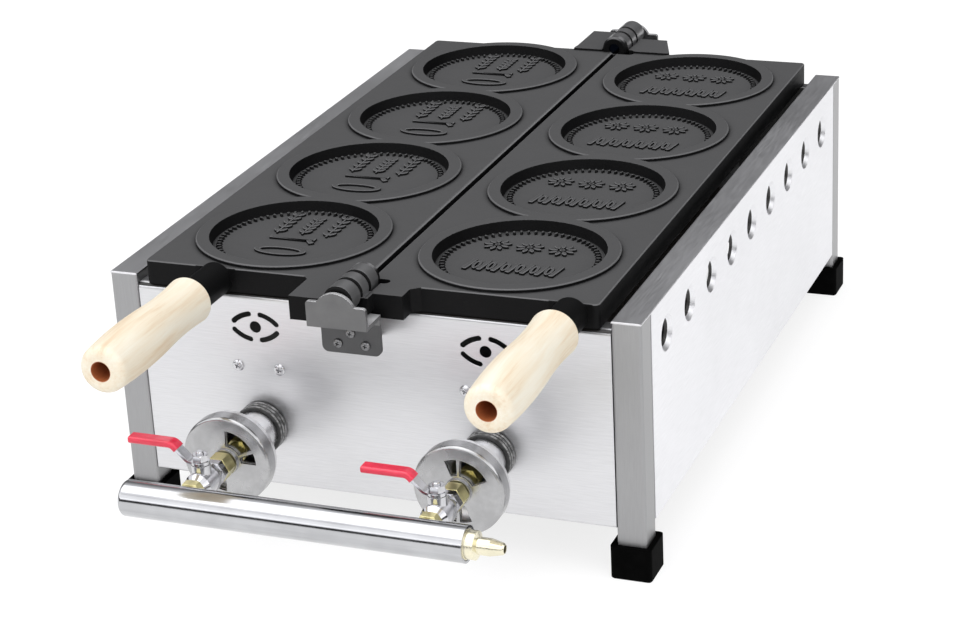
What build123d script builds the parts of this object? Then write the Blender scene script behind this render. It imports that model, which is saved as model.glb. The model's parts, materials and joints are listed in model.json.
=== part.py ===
from build123d import *
from math import asin, degrees
import os

os.makedirs("parts", exist_ok=True)

# Frame: X across the cooker with the hinge line at X = 0, Y towards its back, Z up from the floor.
# All lengths are in millimetres.

# Mould plates; the cavities set the size of the whole cooker
cavity_count = 4
cavity_radius = 51.9
cavity_web = 11.2
cavity_depth = 7.0
cavity_floor_inset = 1.4
rim_width = 8.2
rim_height = 2.4
rim_bevel = 0.7
hinge_margin = 13.0
plate_side_margin = 9.5
front_end_margin = 2.3
back_end_margin = 0.4
plate_thickness = 14.7
plate_half_gap = 1.9
plate_corner = 3.0
plate_edge_bevel = 0.6

# Housing
frame_top = 161.2
plate_above_rail = 9.0
plate_side_gap = 6.7
plate_front_margin = 0.3
plate_back_margin = 2.1
rail_width = 17.9
rail_lip = 9.0
sheet = 1.2
bend_radius = 1.6
rail_bend = 1.0
seat_gap = 0.3
cut_margin = 1.0
leg_depth = 18.5
leg_wall = 1.5
leg_corner = 1.8
panel_bottom = 31.0
panel_inset = 0.7
panel_return = 12.0
panel_roll = 4.0

# Rubber boots
boot_wall = 3.3
boot_height = 21.0
boot_floor = 4.0
boot_corner = 2.5
boot_bevel = 0.8

# Side vents, pressed inwards as small funnels
vent_count = 9
vent_front_margin = 47.5
vent_back_margin = 53.2
vent_drop = 24.5
vent_flare_radius = 11.1
vent_hole_radius = 6.6
vent_press = 4.0

# Eye-shaped flame windows
eye_drop = 27.2
eye_half_width = 16.3
eye_rise = 8.4
eye_slot = 3.2
eye_bridge = 4.2
eye_tip_gap = 2.4
eye_pupil_radius = 3.7

# Hinge
closed_gap = 0.3
knuckle_radius = 9.0
knuckle_bevel = 1.2
knuckle_gap = 1.0
inner_knuckle = 15.0
inner_knuckle_overlap = 4.0
middle_knuckle = 11.0
pin_radius = 4.0
pin_play = 0.05
notch_reach = 14.8
notch_width = 6.4
notch_past_knuckle = 3.0
lug_width = 12.0
lug_foot = 3.45
# Hinge tabs: width at the plate, width at the tip, length of the taper, run past the plate's last knuckle
front_left_tab = (37.7, 34.4, 4.0, -7.75)
front_right_tab = (35.3, 30.2, 4.0, -7.85)
rear_left_tab = (31.6, 31.0, 4.0, 0.0)
rear_right_tab = (41.0, 30.8, 28.0, 5.6)
# How far the tabs stand above their plates
front_tab_rise = 0.0
rear_tab_rise = 1.6

# Hinge brackets
front_hinge_reach = 41.1
rear_hinge_reach = 45.4
bracket_sheet = 2.5
shelf_gap = 0.3
pocket_side_gap = 0.6
bell_half_width = 18.5
bell_crown_rise = 6.25
bell_crown_radius = 13.0
bell_crown_shift = -0.5
bell_left_rise = 0.35
bell_right_drop = 1.45
bell_corner = 2.0
bell_valley_radius = 6.0
foot_plate_setback = 18.0
foot_plate_drop = 25.4
foot_plate_corner = 4.0
standoff_front_half = 13.0
standoff_back_half = 8.5
standoff_bottom_lift = 2.5
# Bracket screws: place across the plate, height above its lower edge
bracket_screws_at = ((-8.3, 6.0), (9.0, 6.0), (0.0, 12.9))

# Screws
screw_radius = 1.9
screw_play = 0.05
screw_head_radius = 2.9
screw_head_height = 1.7
bracket_screw_length = 9.0

# Handles
left_handle_inset = 46.7
right_handle_inset = 16.7
handle_drop = 7.2
left_grip_start = 35.5
right_grip_start = 28.5
grip_length = 104.5
grip_neck_radius = 14.5
grip_waist_radius = 13.6
grip_waist_at = 21.0
grip_swell_radius = 14.3
grip_swell_at = 42.0
grip_end_radius = 14.0
grip_rounding = 5.0
grip_bore_radius = 5.8
grip_bore_depth = 26.0
boss_radius = 10.4
ferrule_length = 6.0
ferrule_radius = 11.4
ferrule_bevel = 0.8
rod_radius = 4.0
rod_play = 0.05
rod_in_boss = 22.0

# Burners
burner_drop = 91.2
inlet_radius = 12.6
inlet_wall = 2.6
inlet_run = 46.0
burner_radius = 18.0
burner_wall = 3.0
burner_back_gap = 34.0
burner_flare = 30.0
slot_width = 2.0
slot_pitch = 14.0
slot_half_span = 9.0
slot_depth = 5.0
spigot_radius = 5.0
hanger_sheet = 2.0
hanger_half_width = 20.0
hanger_corner = 3.0
hanger_screw_edge = 6.0
hanger_play = 0.3
burner_screw_offset = 13.6
burner_screw_rise = 37.8
burner_screw_length = 7.0

# Mixers, in front of the panel; stations are measured forwards from the frame's front
collar_radius = 15.7
collar_groove = 1.0
collar_ridges = 3
collar_flank = 0.6
collar_length = 9.0
neck_radius = 13.2
neck_end = 21.0
bell_start = 38.0
bell_back_radius = 23.5
bell_ring_radius = 26.6
bell_ring_length = 4.0
bell_face_radius = 26.0
bell_face = 49.6
bell_wall = 2.0

# Air shutters: pressed caps over the bells
shutter_sheet = 1.5
shutter_play = 0.3
shutter_bore_play = 0.05
shutter_bend = 2.0
shutter_hub_radius = 8.0
shutter_hub_height = 1.6
window_inner_radius = 9.6
window_outer_radius = 19.6
narrow_window = 22.0
wide_window = 59.0
window_spoke = 6.5
left_window_from = -0.5
right_window_from = 25.0

# Injectors: the inner nut shows through the air windows
injector_start = 20.0
inner_nut_start = 26.5
inner_nut_end = 36.5
inner_nut_flats = 12.6
injector_radius = 5.6
nozzle_radius = 2.6

# Gas train, stations measured forwards from the frame's front
inlet_nut_start = 53.8
inlet_nut_end = 63.5
nut_flats = 14.0
valve_start = 63.8
valve_end = 91.0
valve_radius = 8.6
valve_back_radius = 6.6
valve_front_radius = 5.6
valve_hex_length = 5.0
valve_stem_at = 81.0
valve_boss_radius = 5.6
valve_boss_height = 12.6
valve_boss_margin = 0.6
valve_bore_radius = 3.0
ball_radius = 6.2
ball_play = 0.05
stem_radius = 2.3
stem_play = 0.05
stem_stand = 1.7
stem_in_ball = 2.0
stem_bevel = 0.5
outlet_nut_start = 91.3
outlet_nut_end = 97.6
tail_radius = 4.6
tail_play = 0.05

# Lever handles
hub_radius = 5.4
lever_sheet = 1.8
lever_lift = 10.0
lever_knee = 6.5
lever_slope = 10.0
lever_bend = 5.0
lever_length = 43.0
lever_width = 7.0
sleeve_on_slope = 3.0
sleeve_skin = 0.6
sleeve_thickness = 4.2
sleeve_overhang = 1.2
sleeve_play = 0.1
sleeve_rounding = 1.5
lever_nut_flats = 8.6
lever_nut_height = 4.2

# Gas manifold and hose nozzle
manifold_radius = 10.65
manifold_wall = 1.6
manifold_at = 109.0
manifold_left_overhang = 35.4
manifold_right_overhang = 28.4
manifold_rounding = 2.5
nozzle_collar_radius = 8.2
nozzle_collar_length = 5.5
nozzle_shank_length = 6.0
nozzle_shoulder = 1.0
nozzle_land_radius = 5.0
nozzle_land_length = 7.0
nozzle_tip_radius = 3.4
nozzle_tip_bevel = 0.8
nozzle_length = 21.5
nozzle_bore_radius = 2.2

# Places worked out from the sizes above
pair = (("left", -1), ("right", 1))
rim_radius = cavity_radius + rim_width
cavity_pitch = 2 * cavity_radius + cavity_web
cavity_offset = rim_radius + hinge_margin
cavity_first = rim_radius + front_end_margin
plate_outer = cavity_offset + rim_radius + plate_side_margin
plate_depth = cavity_first + (cavity_count - 1) * cavity_pitch + rim_radius + back_end_margin
plate_top = frame_top + plate_above_rail
plate_bottom = plate_top - plate_thickness
rim_top = plate_top + rim_height
frame_width = 2 * (plate_outer + plate_side_gap + rail_width)
frame_depth = plate_front_margin + plate_depth + plate_back_margin
front_reach = max(left_grip_start, right_grip_start) + grip_length
rear_reach = rear_hinge_reach - plate_back_margin
frame_front = front_reach - (front_reach + frame_depth + rear_reach) / 2
frame_back = frame_front + frame_depth
plate_front = frame_front + plate_front_margin
plate_back = plate_front + plate_depth
hinge_z = rim_top + closed_gap / 2
lug_bottom = hinge_z - knuckle_radius - lug_foot
shelf_top = lug_bottom - shelf_gap
shelf_bottom = shelf_top - bracket_sheet
panel_top = plate_bottom - seat_gap
panel_half_width = frame_width / 2 - rail_width - seat_gap
handle_height = plate_top - handle_drop
burner_x = cavity_offset
burner_axis = frame_top - burner_drop
burner_screw_height = burner_axis + burner_screw_rise
vent_height = frame_top - vent_drop
vent_pitch = (frame_depth - vent_front_margin - vent_back_margin) / (vent_count - 1)
eye_height = frame_top - eye_drop
manifold_left = -burner_x - manifold_left_overhang
manifold_right = burner_x + manifold_right_overhang
cavity_draft = degrees(asin(cavity_floor_inset / cavity_depth))


def front_plane(x, y, z):
    """Plane that faces the front, with local X to the right and local Y up."""
    return Plane(origin=(x, y, z), x_dir=(1, 0, 0), z_dir=(0, -1, 0))


def axial_plane(x, y, z):
    """Plane through a front-to-back axis, with local X forwards and local Y up."""
    return Plane(origin=(x, y, z), x_dir=(0, -1, 0), z_dir=(-1, 0, 0))


def forward_axis(x, y, z):
    return Axis((x, y, z), (0, -1, 0))


def outline(plane, points):
    """Closed straight-sided outline on a plane."""
    with BuildSketch(plane) as profile:
        with BuildLine():
            Polyline(*points, close=True)
        make_face()
    return profile.sketch


def eye_window(plane):
    """Eye-shaped window: four curved slots round a pupil hole."""
    with BuildSketch(plane) as window:
        for flip in (-1, 1):
            for turn in (-1, 1):
                first = flip * 90 - turn * eye_near_angle
                centre = (0, flip * (eye_rise - eye_arc_radius))
                with BuildLine(mode=Mode.PRIVATE) as slot_line:
                    CenterArc(centre, eye_arc_radius, first, -turn * eye_sweep)
                SlotArc(slot_line.edges()[0], eye_slot)
        Circle(eye_pupil_radius)
    return window.sketch


def air_windows(plane, first_angle, widths):
    """Two opposite groups of wedge-shaped air windows with spokes between them, anticlockwise."""
    with BuildSketch(plane) as windows:
        for base in (0, 180):
            start = base + first_angle
            for width in widths:
                with BuildLine():
                    outer_arc = CenterArc((0, 0), window_outer_radius, start, width)
                    inner_arc = CenterArc((0, 0), window_inner_radius, start, width)
                    Line(outer_arc @ 0, inner_arc @ 0)
                    Line(outer_arc @ 1, inner_arc @ 1)
                make_face()
                start += width + window_spoke
    return windows.sketch


def knuckle_spans(side, hinge_reach):
    """Stretches of the hinge line that one plate's knuckles take, and those of the other plate."""
    outer_span = (outer_start, hinge_reach - bracket_sheet - knuckle_gap)
    left_spans = (inner_span, outer_span)
    right_spans = (middle_span,)
    return (left_spans, right_spans) if side < 0 else (right_spans, left_spans)


def save(piece, name):
    piece.part.label = name
    export_step(piece.part, f"parts/{name}.step")


# Front and rear panels: pans with rolled edges that stand between the legs
front_panel_y = frame_front + panel_inset
rear_panel_y = frame_back - panel_inset
panel_size = (2 * panel_half_width, panel_return, panel_top - panel_bottom)
panel_middle = (panel_top + panel_bottom) / 2
eye_arc_radius = (eye_half_width**2 + eye_rise**2) / (2 * eye_rise)
eye_near_angle = degrees(asin((eye_bridge + eye_slot) / 2 / eye_arc_radius))
eye_sweep = degrees(asin((eye_half_width - eye_tip_gap) / eye_arc_radius)) - eye_near_angle

with BuildPart() as front_panel:
    with Locations((0, front_panel_y + panel_return / 2, panel_middle)):
        Box(*panel_size)
    front_edges = front_panel.edges().filter_by(Axis.X).group_by(Axis.Y)[0]
    fillet(front_edges.sort_by(Axis.Z)[-1], radius=panel_roll)
    fillet(front_panel.edges().filter_by(Axis.X).group_by(Axis.Y)[0].sort_by(Axis.Z)[0], radius=bend_radius)
    offset(amount=-sheet, openings=front_panel.faces().sort_by(Axis.Y)[-1])
    for side_name, side in pair:
        eye_plane = front_plane(side * burner_x, front_panel_y, eye_height)
        extrude(eye_window(eye_plane), amount=-2 * sheet, mode=Mode.SUBTRACT)
        with BuildSketch(front_plane(side * burner_x, front_panel_y, burner_axis)):
            Circle(inlet_radius + hanger_play)
            with Locations((0, burner_screw_height - burner_axis)):
                with GridLocations(2 * burner_screw_offset, 0, 2, 1):
                    Circle(screw_radius + screw_play)
        extrude(amount=-2 * sheet, mode=Mode.SUBTRACT)
save(front_panel, "front_panel")

with BuildPart() as rear_panel:
    with Locations((0, rear_panel_y - panel_return / 2, panel_middle)):
        Box(*panel_size)
    fillet(rear_panel.edges().filter_by(Axis.X).group_by(Axis.Y)[-1].sort_by(Axis.Z)[-1], radius=panel_roll)
    fillet(rear_panel.edges().filter_by(Axis.X).group_by(Axis.Y)[-1].sort_by(Axis.Z)[0], radius=bend_radius)
    offset(amount=-sheet, openings=rear_panel.faces().sort_by(Axis.Y)[0])
    for side_name, side in pair:
        with BuildSketch(front_plane(side * burner_x, rear_panel_y, burner_screw_height)):
            with GridLocations(2 * burner_screw_offset, 0, 2, 1):
                Circle(screw_radius + screw_play)
        extrude(amount=2 * sheet, mode=Mode.SUBTRACT)
save(rear_panel, "rear_panel")

# Side panels: each is one bent sheet whose top flange makes the rail over the legs
web_front = frame_front + leg_depth + seat_gap
web_back = frame_back - leg_depth - seat_gap

for side_name, side in pair:
    outer = side * frame_width / 2
    inner = side * (frame_width / 2 - rail_width)
    with BuildPart() as side_panel:
        with BuildSketch(front_plane(0, frame_front, 0)):
            with BuildLine():
                Polyline(
                    (outer, panel_bottom),
                    (outer, frame_top),
                    (inner, frame_top),
                    (inner, frame_top - rail_lip),
                    (inner + side * sheet, frame_top - rail_lip),
                    (inner + side * sheet, frame_top - sheet),
                    (outer - side * sheet, frame_top - sheet),
                    (outer - side * sheet, panel_bottom),
                    close=True,
                )
            make_face()
        extrude(amount=-frame_depth)
        top_edges = side_panel.edges().filter_by(Axis.Y).group_by(Axis.Z)[-1]
        fillet(top_edges, radius=rail_bend)
        leg_zone = frame_top - sheet - panel_bottom + cut_margin
        for y in ((frame_front + web_front) / 2, (frame_back + web_back) / 2):
            with Locations((outer - side * rail_width / 2, y, frame_top - sheet - leg_zone / 2)):
                Box(rail_width + 2 * cut_margin, leg_depth + seat_gap, leg_zone, mode=Mode.SUBTRACT)
        vent_plane = Plane(origin=(outer, 0, vent_height), x_dir=(0, side, 0), z_dir=(side, 0, 0))
        vents = [(side * (frame_front + vent_front_margin + i * vent_pitch), 0) for i in range(vent_count)]
        with Locations(vent_plane.offset(-vent_press / 2)):
            with Locations(*vents):
                Cone(vent_hole_radius + sheet, vent_flare_radius + sheet, vent_press)
        with Locations(vent_plane.offset(-vent_press / 2)):
            with Locations(*vents):
                Cone(vent_hole_radius, vent_flare_radius, vent_press, mode=Mode.SUBTRACT)
    save(side_panel, f"{side_name}_side_panel")

# Legs: square tubes capped by the rails
leg_top = frame_top - sheet
leg_height = leg_top - boot_floor
corners = (("front", frame_front + leg_depth / 2), ("rear", frame_back - leg_depth / 2))

for end_name, leg_y in corners:
    for side_name, side in pair:
        leg_x = side * (frame_width - rail_width) / 2
        with BuildPart() as leg:
            with BuildSketch(Plane.XY.offset(boot_floor)):
                with Locations((leg_x, leg_y)):
                    RectangleRounded(rail_width, leg_depth, leg_corner)
                    Rectangle(rail_width - 2 * leg_wall, leg_depth - 2 * leg_wall, mode=Mode.SUBTRACT)
            extrude(amount=leg_height)
        save(leg, f"{end_name}_{side_name}_leg")

        boot_x = rail_width + 2 * (seat_gap + boot_wall)
        boot_y = leg_depth + 2 * (seat_gap + boot_wall)
        with BuildPart() as boot:
            with BuildSketch():
                with Locations((leg_x, leg_y)):
                    RectangleRounded(boot_x, boot_y, boot_corner)
            extrude(amount=boot_height)
            chamfer(boot.edges().group_by(Axis.Z)[0], length=boot_bevel)
            with BuildSketch(Plane.XY.offset(boot_floor)):
                with Locations((leg_x, leg_y)):
                    Rectangle(rail_width + 2 * seat_gap, leg_depth + 2 * seat_gap)
            extrude(amount=boot_height, mode=Mode.SUBTRACT)
        save(boot, f"{end_name}_{side_name}_boot")

# Mould plates: castings with merged round rims, tapered cavities, hinge tabs and knuckles
cavity_ys = [plate_front + cavity_first + i * cavity_pitch for i in range(cavity_count)]
middle_start = inner_knuckle - inner_knuckle_overlap + knuckle_gap
outer_start = middle_start + middle_knuckle + knuckle_gap
inner_span = (-inner_knuckle_overlap, inner_knuckle - inner_knuckle_overlap)
middle_span = (middle_start, middle_start + middle_knuckle)
relief_radius = knuckle_radius + knuckle_gap
left_handle_x = left_handle_inset - plate_outer
right_handle_x = plate_outer - right_handle_inset
mould_layout = (
    ("left", -1, front_left_tab, rear_left_tab, left_handle_x, left_grip_start),
    ("right", 1, front_right_tab, rear_right_tab, right_handle_x, right_grip_start),
)

for side_name, side, front_tab, rear_tab, handle_x, grip_start in mould_layout:
    grip_y = frame_front - grip_start
    boss_end = grip_y + ferrule_length
    rounds = [(side * cavity_offset, y) for y in cavity_ys]
    tabs = (
        (plate_front, -1, front_hinge_reach, front_tab, front_tab_rise),
        (plate_back, 1, rear_hinge_reach, rear_tab, rear_tab_rise),
    )
    with BuildPart() as mould_plate:
        with BuildSketch(Plane.XY.offset(plate_bottom)):
            with Locations((side * (plate_half_gap + plate_outer) / 2, (plate_front + plate_back) / 2)):
                Rectangle(plate_outer - plate_half_gap, plate_depth)
        extrude(amount=plate_thickness)
        outer_edges = mould_plate.edges().filter_by(Axis.Z).sort_by(Axis.X)
        fillet(outer_edges[:2] if side < 0 else outer_edges[-2:], radius=plate_corner)
        chamfer(mould_plate.edges().group_by(Axis.Z)[-1], length=plate_edge_bevel)
        with BuildSketch(Plane.XY.offset(plate_top)):
            with Locations(*rounds):
                Circle(rim_radius)
        extrude(amount=rim_height)
        chamfer(mould_plate.edges().group_by(Axis.Z)[-1], length=rim_bevel)
        with BuildSketch(Plane.XY.offset(rim_top)):
            with Locations(*rounds):
                Circle(cavity_radius)
        extrude(amount=-cavity_depth, taper=cavity_draft, mode=Mode.SUBTRACT)
        for edge_y, away, hinge_reach, tab, tab_rise in tabs:
            root_x, tip_x, taper_length, past_knuckle = tab
            own_spans, other_spans = knuckle_spans(side, hinge_reach)
            tab_reach = own_spans[-1][1] + past_knuckle
            tab_outline = [
                (side * relief_radius, edge_y - away * plate_corner),
                (side * root_x, edge_y - away * plate_corner),
                (side * root_x, edge_y),
                (side * tip_x, edge_y + away * taper_length),
                (side * tip_x, edge_y + away * tab_reach),
                (side * relief_radius, edge_y + away * tab_reach),
            ]
            extrude(outline(Plane.XY.offset(plate_bottom), tab_outline), amount=plate_thickness + tab_rise)
            pocket_start = hinge_reach - foot_plate_setback - bracket_sheet - pocket_side_gap
            pocket_y = edge_y + away * (pocket_start + hinge_reach) / 2
            pocket_width = 2 * (bell_half_width + pocket_side_gap)
            pocket_height = lug_bottom - plate_bottom + cut_margin
            with Locations((0, pocket_y, lug_bottom - pocket_height / 2)):
                Box(pocket_width, hinge_reach - pocket_start, pocket_height, mode=Mode.SUBTRACT)
            for start, end in own_spans:
                lug_middle = edge_y + away * (start + end) / 2
                with Locations((side * lug_width / 2, lug_middle, (plate_top + lug_bottom) / 2)):
                    Box(lug_width, end - start, plate_top - lug_bottom)
            for start, end in other_spans:
                with BuildSketch(Plane.XY.offset(plate_bottom - cut_margin)):
                    with Locations((side * relief_radius / 2, edge_y + away * (start + end) / 2)):
                        Rectangle(relief_radius, end - start + 2 * knuckle_gap)
                    if start < 0:
                        notch_y = start - notch_past_knuckle + notch_width / 2
                        with Locations((0, edge_y + away * notch_y)):
                            SlotOverall(2 * notch_reach, notch_width)
                extrude(amount=plate_thickness + tab_rise + 2 * cut_margin, mode=Mode.SUBTRACT)
            for start, end in own_spans:
                near, far = sorted((-away * start, -away * end))
                knuckle_outline = [
                    (near, 0),
                    (near, knuckle_radius - knuckle_bevel),
                    (near + knuckle_bevel, knuckle_radius),
                    (far - knuckle_bevel, knuckle_radius),
                    (far, knuckle_radius - knuckle_bevel),
                    (far, 0),
                ]
                knuckle = outline(axial_plane(0, edge_y, hinge_z), knuckle_outline)
                revolve(knuckle, axis=forward_axis(0, edge_y, hinge_z))
        with BuildSketch(front_plane(0, plate_front - front_hinge_reach, hinge_z)):
            Circle(pin_radius + pin_play)
        extrude(amount=-(front_hinge_reach + plate_depth + rear_hinge_reach), mode=Mode.SUBTRACT)
        with BuildSketch(front_plane(handle_x, plate_front, handle_height)):
            Circle(boss_radius)
        extrude(amount=plate_front - boss_end)
        with BuildSketch(front_plane(handle_x, boss_end, handle_height)):
            Circle(rod_radius + rod_play)
        extrude(amount=-rod_in_boss, mode=Mode.SUBTRACT)
    save(mould_plate, f"{side_name}_mould_plate")

    rod_tip = grip_y - grip_length + grip_bore_depth
    with BuildPart() as handle_rod:
        with BuildSketch(front_plane(handle_x, boss_end + rod_in_boss - seat_gap, handle_height)):
            Circle(rod_radius)
        extrude(amount=boss_end + rod_in_boss - seat_gap - rod_tip)
    save(handle_rod, f"{side_name}_handle_rod")

    with BuildPart() as ferrule:
        with BuildSketch(front_plane(handle_x, boss_end, handle_height)):
            Circle(ferrule_radius)
            Circle(rod_radius + rod_play, mode=Mode.SUBTRACT)
        extrude(amount=ferrule_length)
        chamfer(ferrule.edges().filter_by(GeomType.CIRCLE).sort_by(SortBy.RADIUS)[-2:], length=ferrule_bevel)
    save(ferrule, f"{side_name}_ferrule")

    grip_axis = forward_axis(handle_x, grip_y, handle_height)
    with BuildPart() as grip:
        with BuildSketch(axial_plane(handle_x, grip_y, handle_height)):
            with BuildLine():
                neck = Line((0, 0), (0, grip_neck_radius))
                waist_point = (grip_waist_at, grip_waist_radius)
                waist = ThreePointArc(neck @ 1, waist_point, (grip_swell_at, grip_swell_radius))
                swell_end = (grip_length - grip_rounding, grip_end_radius)
                swell = TangentArc(waist @ 1, swell_end, tangent=waist % 1)
                nose = RadiusArc(swell @ 1, (grip_length, grip_end_radius - grip_rounding), grip_rounding)
                Polyline(nose @ 1, (grip_length, 0), (0, 0))
            make_face()
        revolve(axis=grip_axis)
        with BuildSketch(front_plane(handle_x, grip_y, handle_height)):
            Circle(rod_radius + rod_play)
        extrude(amount=grip_length, mode=Mode.SUBTRACT)
        with BuildSketch(front_plane(handle_x, grip_y - grip_length, handle_height)):
            Circle(grip_bore_radius)
        extrude(amount=-grip_bore_depth, mode=Mode.SUBTRACT)
    save(grip, f"{side_name}_grip")

# Hinge brackets: a Z-bent plate with a bell-shaped upright that carries the pin
foot_plate_bottom = shelf_top - foot_plate_drop
bell_left = hinge_z + bell_left_rise
bell_right = hinge_z - bell_right_drop
bell_crown = hinge_z + bell_crown_rise
hinge_ends = (
    ("front", plate_front, -1, front_hinge_reach, front_panel_y),
    ("rear", plate_back, 1, rear_hinge_reach, rear_panel_y),
)

for end_name, edge_y, away, hinge_reach, panel_y in hinge_ends:
    bell_outer = edge_y + away * hinge_reach
    bell_inner = bell_outer - away * bracket_sheet
    foot_outer = bell_outer - away * foot_plate_setback
    foot_inner = foot_outer - away * bracket_sheet
    with BuildPart() as hinge_bracket:
        with BuildSketch(front_plane(0, max(bell_outer, bell_inner), 0)) as bell:
            with Locations((bell_crown_shift, bell_crown - bell_crown_radius)):
                Circle(bell_crown_radius)
            with Locations((0, (shelf_bottom + bell_crown) / 2)):
                Rectangle(2 * bell_half_width, bell_crown - shelf_bottom, mode=Mode.INTERSECT)
            with Locations((-bell_half_width / 2, (shelf_bottom + bell_left) / 2)):
                Rectangle(bell_half_width, bell_left - shelf_bottom)
            with Locations((bell_half_width / 2, (shelf_bottom + bell_right) / 2)):
                Rectangle(bell_half_width, bell_right - shelf_bottom)
            shoulders = bell.vertices().filter_by(lambda v: v.Y > shelf_top).sort_by(Axis.X)
            fillet([shoulders[0], shoulders[-1]], radius=bell_corner)
            fillet(shoulders[1:-1], radius=bell_valley_radius)
        extrude(amount=bracket_sheet)
        with Locations((0, (bell_outer + foot_inner) / 2, (shelf_top + shelf_bottom) / 2)):
            Box(2 * bell_half_width, abs(bell_outer - foot_inner), bracket_sheet)
        with BuildSketch(front_plane(0, max(foot_outer, foot_inner), 0)):
            with Locations((0, (shelf_top + foot_plate_bottom) / 2)):
                Rectangle(2 * bell_half_width, shelf_top - foot_plate_bottom)
            for x, rise in bracket_screws_at:
                with Locations((x, foot_plate_bottom + rise)):
                    Circle(screw_radius + screw_play, mode=Mode.SUBTRACT)
        extrude(amount=bracket_sheet)
        upright = hinge_bracket.edges().filter_by(Axis.Y)
        fillet(upright.group_by(Axis.Z)[0], radius=foot_plate_corner)
    save(hinge_bracket, f"{end_name}_hinge_bracket")

    pin_start = bell_inner
    pin_end = edge_y - away * (inner_knuckle_overlap - knuckle_gap)
    with BuildPart() as hinge_pin:
        with BuildSketch(front_plane(0, max(pin_start, pin_end), hinge_z)):
            Circle(pin_radius)
        extrude(amount=abs(pin_start - pin_end))
    save(hinge_pin, f"{end_name}_hinge_pin")

    block_bottom = foot_plate_bottom + standoff_bottom_lift
    block_outline = [
        (-standoff_front_half, foot_inner),
        (standoff_front_half, foot_inner),
        (standoff_back_half, panel_y),
        (-standoff_back_half, panel_y),
    ]
    block_top = panel_top - panel_roll
    with BuildPart() as standoff:
        extrude(outline(Plane.XY.offset(block_bottom), block_outline), amount=block_top - block_bottom)
        with BuildSketch(front_plane(0, foot_inner, 0)):
            for x, rise in bracket_screws_at:
                with Locations((x, foot_plate_bottom + rise)):
                    Circle(screw_radius + screw_play)
        extrude(amount=away * bracket_screw_length, mode=Mode.SUBTRACT)
    save(standoff, f"{end_name}_hinge_standoff")

with BuildPart() as bracket_screws:
    for end_name, edge_y, away, hinge_reach, panel_y in hinge_ends:
        foot_outer = edge_y + away * (hinge_reach - foot_plate_setback)
        for x, rise in bracket_screws_at:
            with BuildSketch(front_plane(x, foot_outer, foot_plate_bottom + rise)):
                Circle(screw_head_radius)
            extrude(amount=-away * screw_head_height)
            with BuildSketch(front_plane(x, foot_outer, foot_plate_bottom + rise)):
                Circle(screw_radius)
            extrude(amount=away * bracket_screw_length)
save(bracket_screws, "bracket_screws")

# Burners: cast pipes with sawn flame slots, hung between the panels
hanger_front = front_panel_y + sheet
burner_back = rear_panel_y - burner_back_gap
inlet_start = frame_front - collar_length
hanger_top = burner_screw_height + hanger_screw_edge
hanger_bottom = burner_axis - hanger_half_width
slot_count = int((burner_back - frame_front - inlet_run - burner_flare) / slot_pitch) - 1

for side_name, side in pair:
    burner_at = side * burner_x
    pipe_front = frame_front + inlet_run + burner_flare
    with BuildPart() as burner:
        pipe_outline = [
            (-inlet_start, inlet_radius - inlet_wall),
            (-inlet_start, inlet_radius),
            (-frame_front - inlet_run, inlet_radius),
            (-pipe_front, burner_radius),
            (-burner_back, burner_radius),
            (-burner_back, spigot_radius),
            (-rear_panel_y + 2 * sheet, spigot_radius),
            (-rear_panel_y + 2 * sheet, 0),
            (-burner_back + burner_wall, 0),
            (-burner_back + burner_wall, burner_radius - burner_wall),
            (-pipe_front, burner_radius - burner_wall),
            (-frame_front - inlet_run, inlet_radius - inlet_wall),
        ]
        burner_line = forward_axis(burner_at, 0, burner_axis)
        revolve(outline(axial_plane(burner_at, 0, burner_axis), pipe_outline), axis=burner_line)
        for i in range(slot_count):
            with Locations((burner_at, pipe_front + (i + 1) * slot_pitch, burner_axis + burner_radius)):
                Box(2 * slot_half_span, slot_width, 2 * slot_depth, mode=Mode.SUBTRACT)
    save(burner, f"{side_name}_burner")

    with BuildPart() as hanger:
        with BuildSketch(front_plane(burner_at, hanger_front + hanger_sheet, 0)):
            with Locations((0, (hanger_top + hanger_bottom) / 2)):
                RectangleRounded(2 * hanger_half_width, hanger_top - hanger_bottom, hanger_corner)
            with Locations((0, burner_axis)):
                Circle(inlet_radius + hanger_play, mode=Mode.SUBTRACT)
            with Locations((0, burner_screw_height)):
                with GridLocations(2 * burner_screw_offset, 0, 2, 1):
                    Circle(screw_radius + screw_play, mode=Mode.SUBTRACT)
        extrude(amount=hanger_sheet)
    save(hanger, f"{side_name}_burner_hanger")

with BuildPart() as rear_burner_supports:
    for side_name, side in pair:
        with BuildSketch(front_plane(side * burner_x, rear_panel_y - sheet, 0)):
            with Locations((0, (hanger_top + hanger_bottom) / 2)):
                RectangleRounded(2 * hanger_half_width, hanger_top - hanger_bottom, hanger_corner)
            with Locations((0, burner_axis)):
                Circle(spigot_radius + hanger_play, mode=Mode.SUBTRACT)
            with Locations((0, burner_screw_height)):
                with GridLocations(2 * burner_screw_offset, 0, 2, 1):
                    Circle(screw_radius + screw_play, mode=Mode.SUBTRACT)
        extrude(amount=hanger_sheet)
save(rear_burner_supports, "rear_burner_supports")

with BuildPart() as burner_screws:
    for panel_y, away in ((front_panel_y, -1), (rear_panel_y, 1)):
        for side_name, side in pair:
            for offset_x in (-burner_screw_offset, burner_screw_offset):
                with BuildSketch(front_plane(side * burner_x + offset_x, panel_y, burner_screw_height)):
                    Circle(screw_head_radius)
                extrude(amount=-away * screw_head_height)
                with BuildSketch(front_plane(side * burner_x + offset_x, panel_y, burner_screw_height)):
                    Circle(screw_radius)
                extrude(amount=away * burner_screw_length)
save(burner_screws, "burner_screws")

# Mixers: threaded collar, flared bell with air windows, and the pressed cap that turns over it as a shutter
ridge = collar_length / (2 * collar_ridges)
sides_of_mixer = (
    ("left", -1, left_window_from, (narrow_window, wide_window)),
    ("right", 1, right_window_from, (wide_window, narrow_window)),
)

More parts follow.
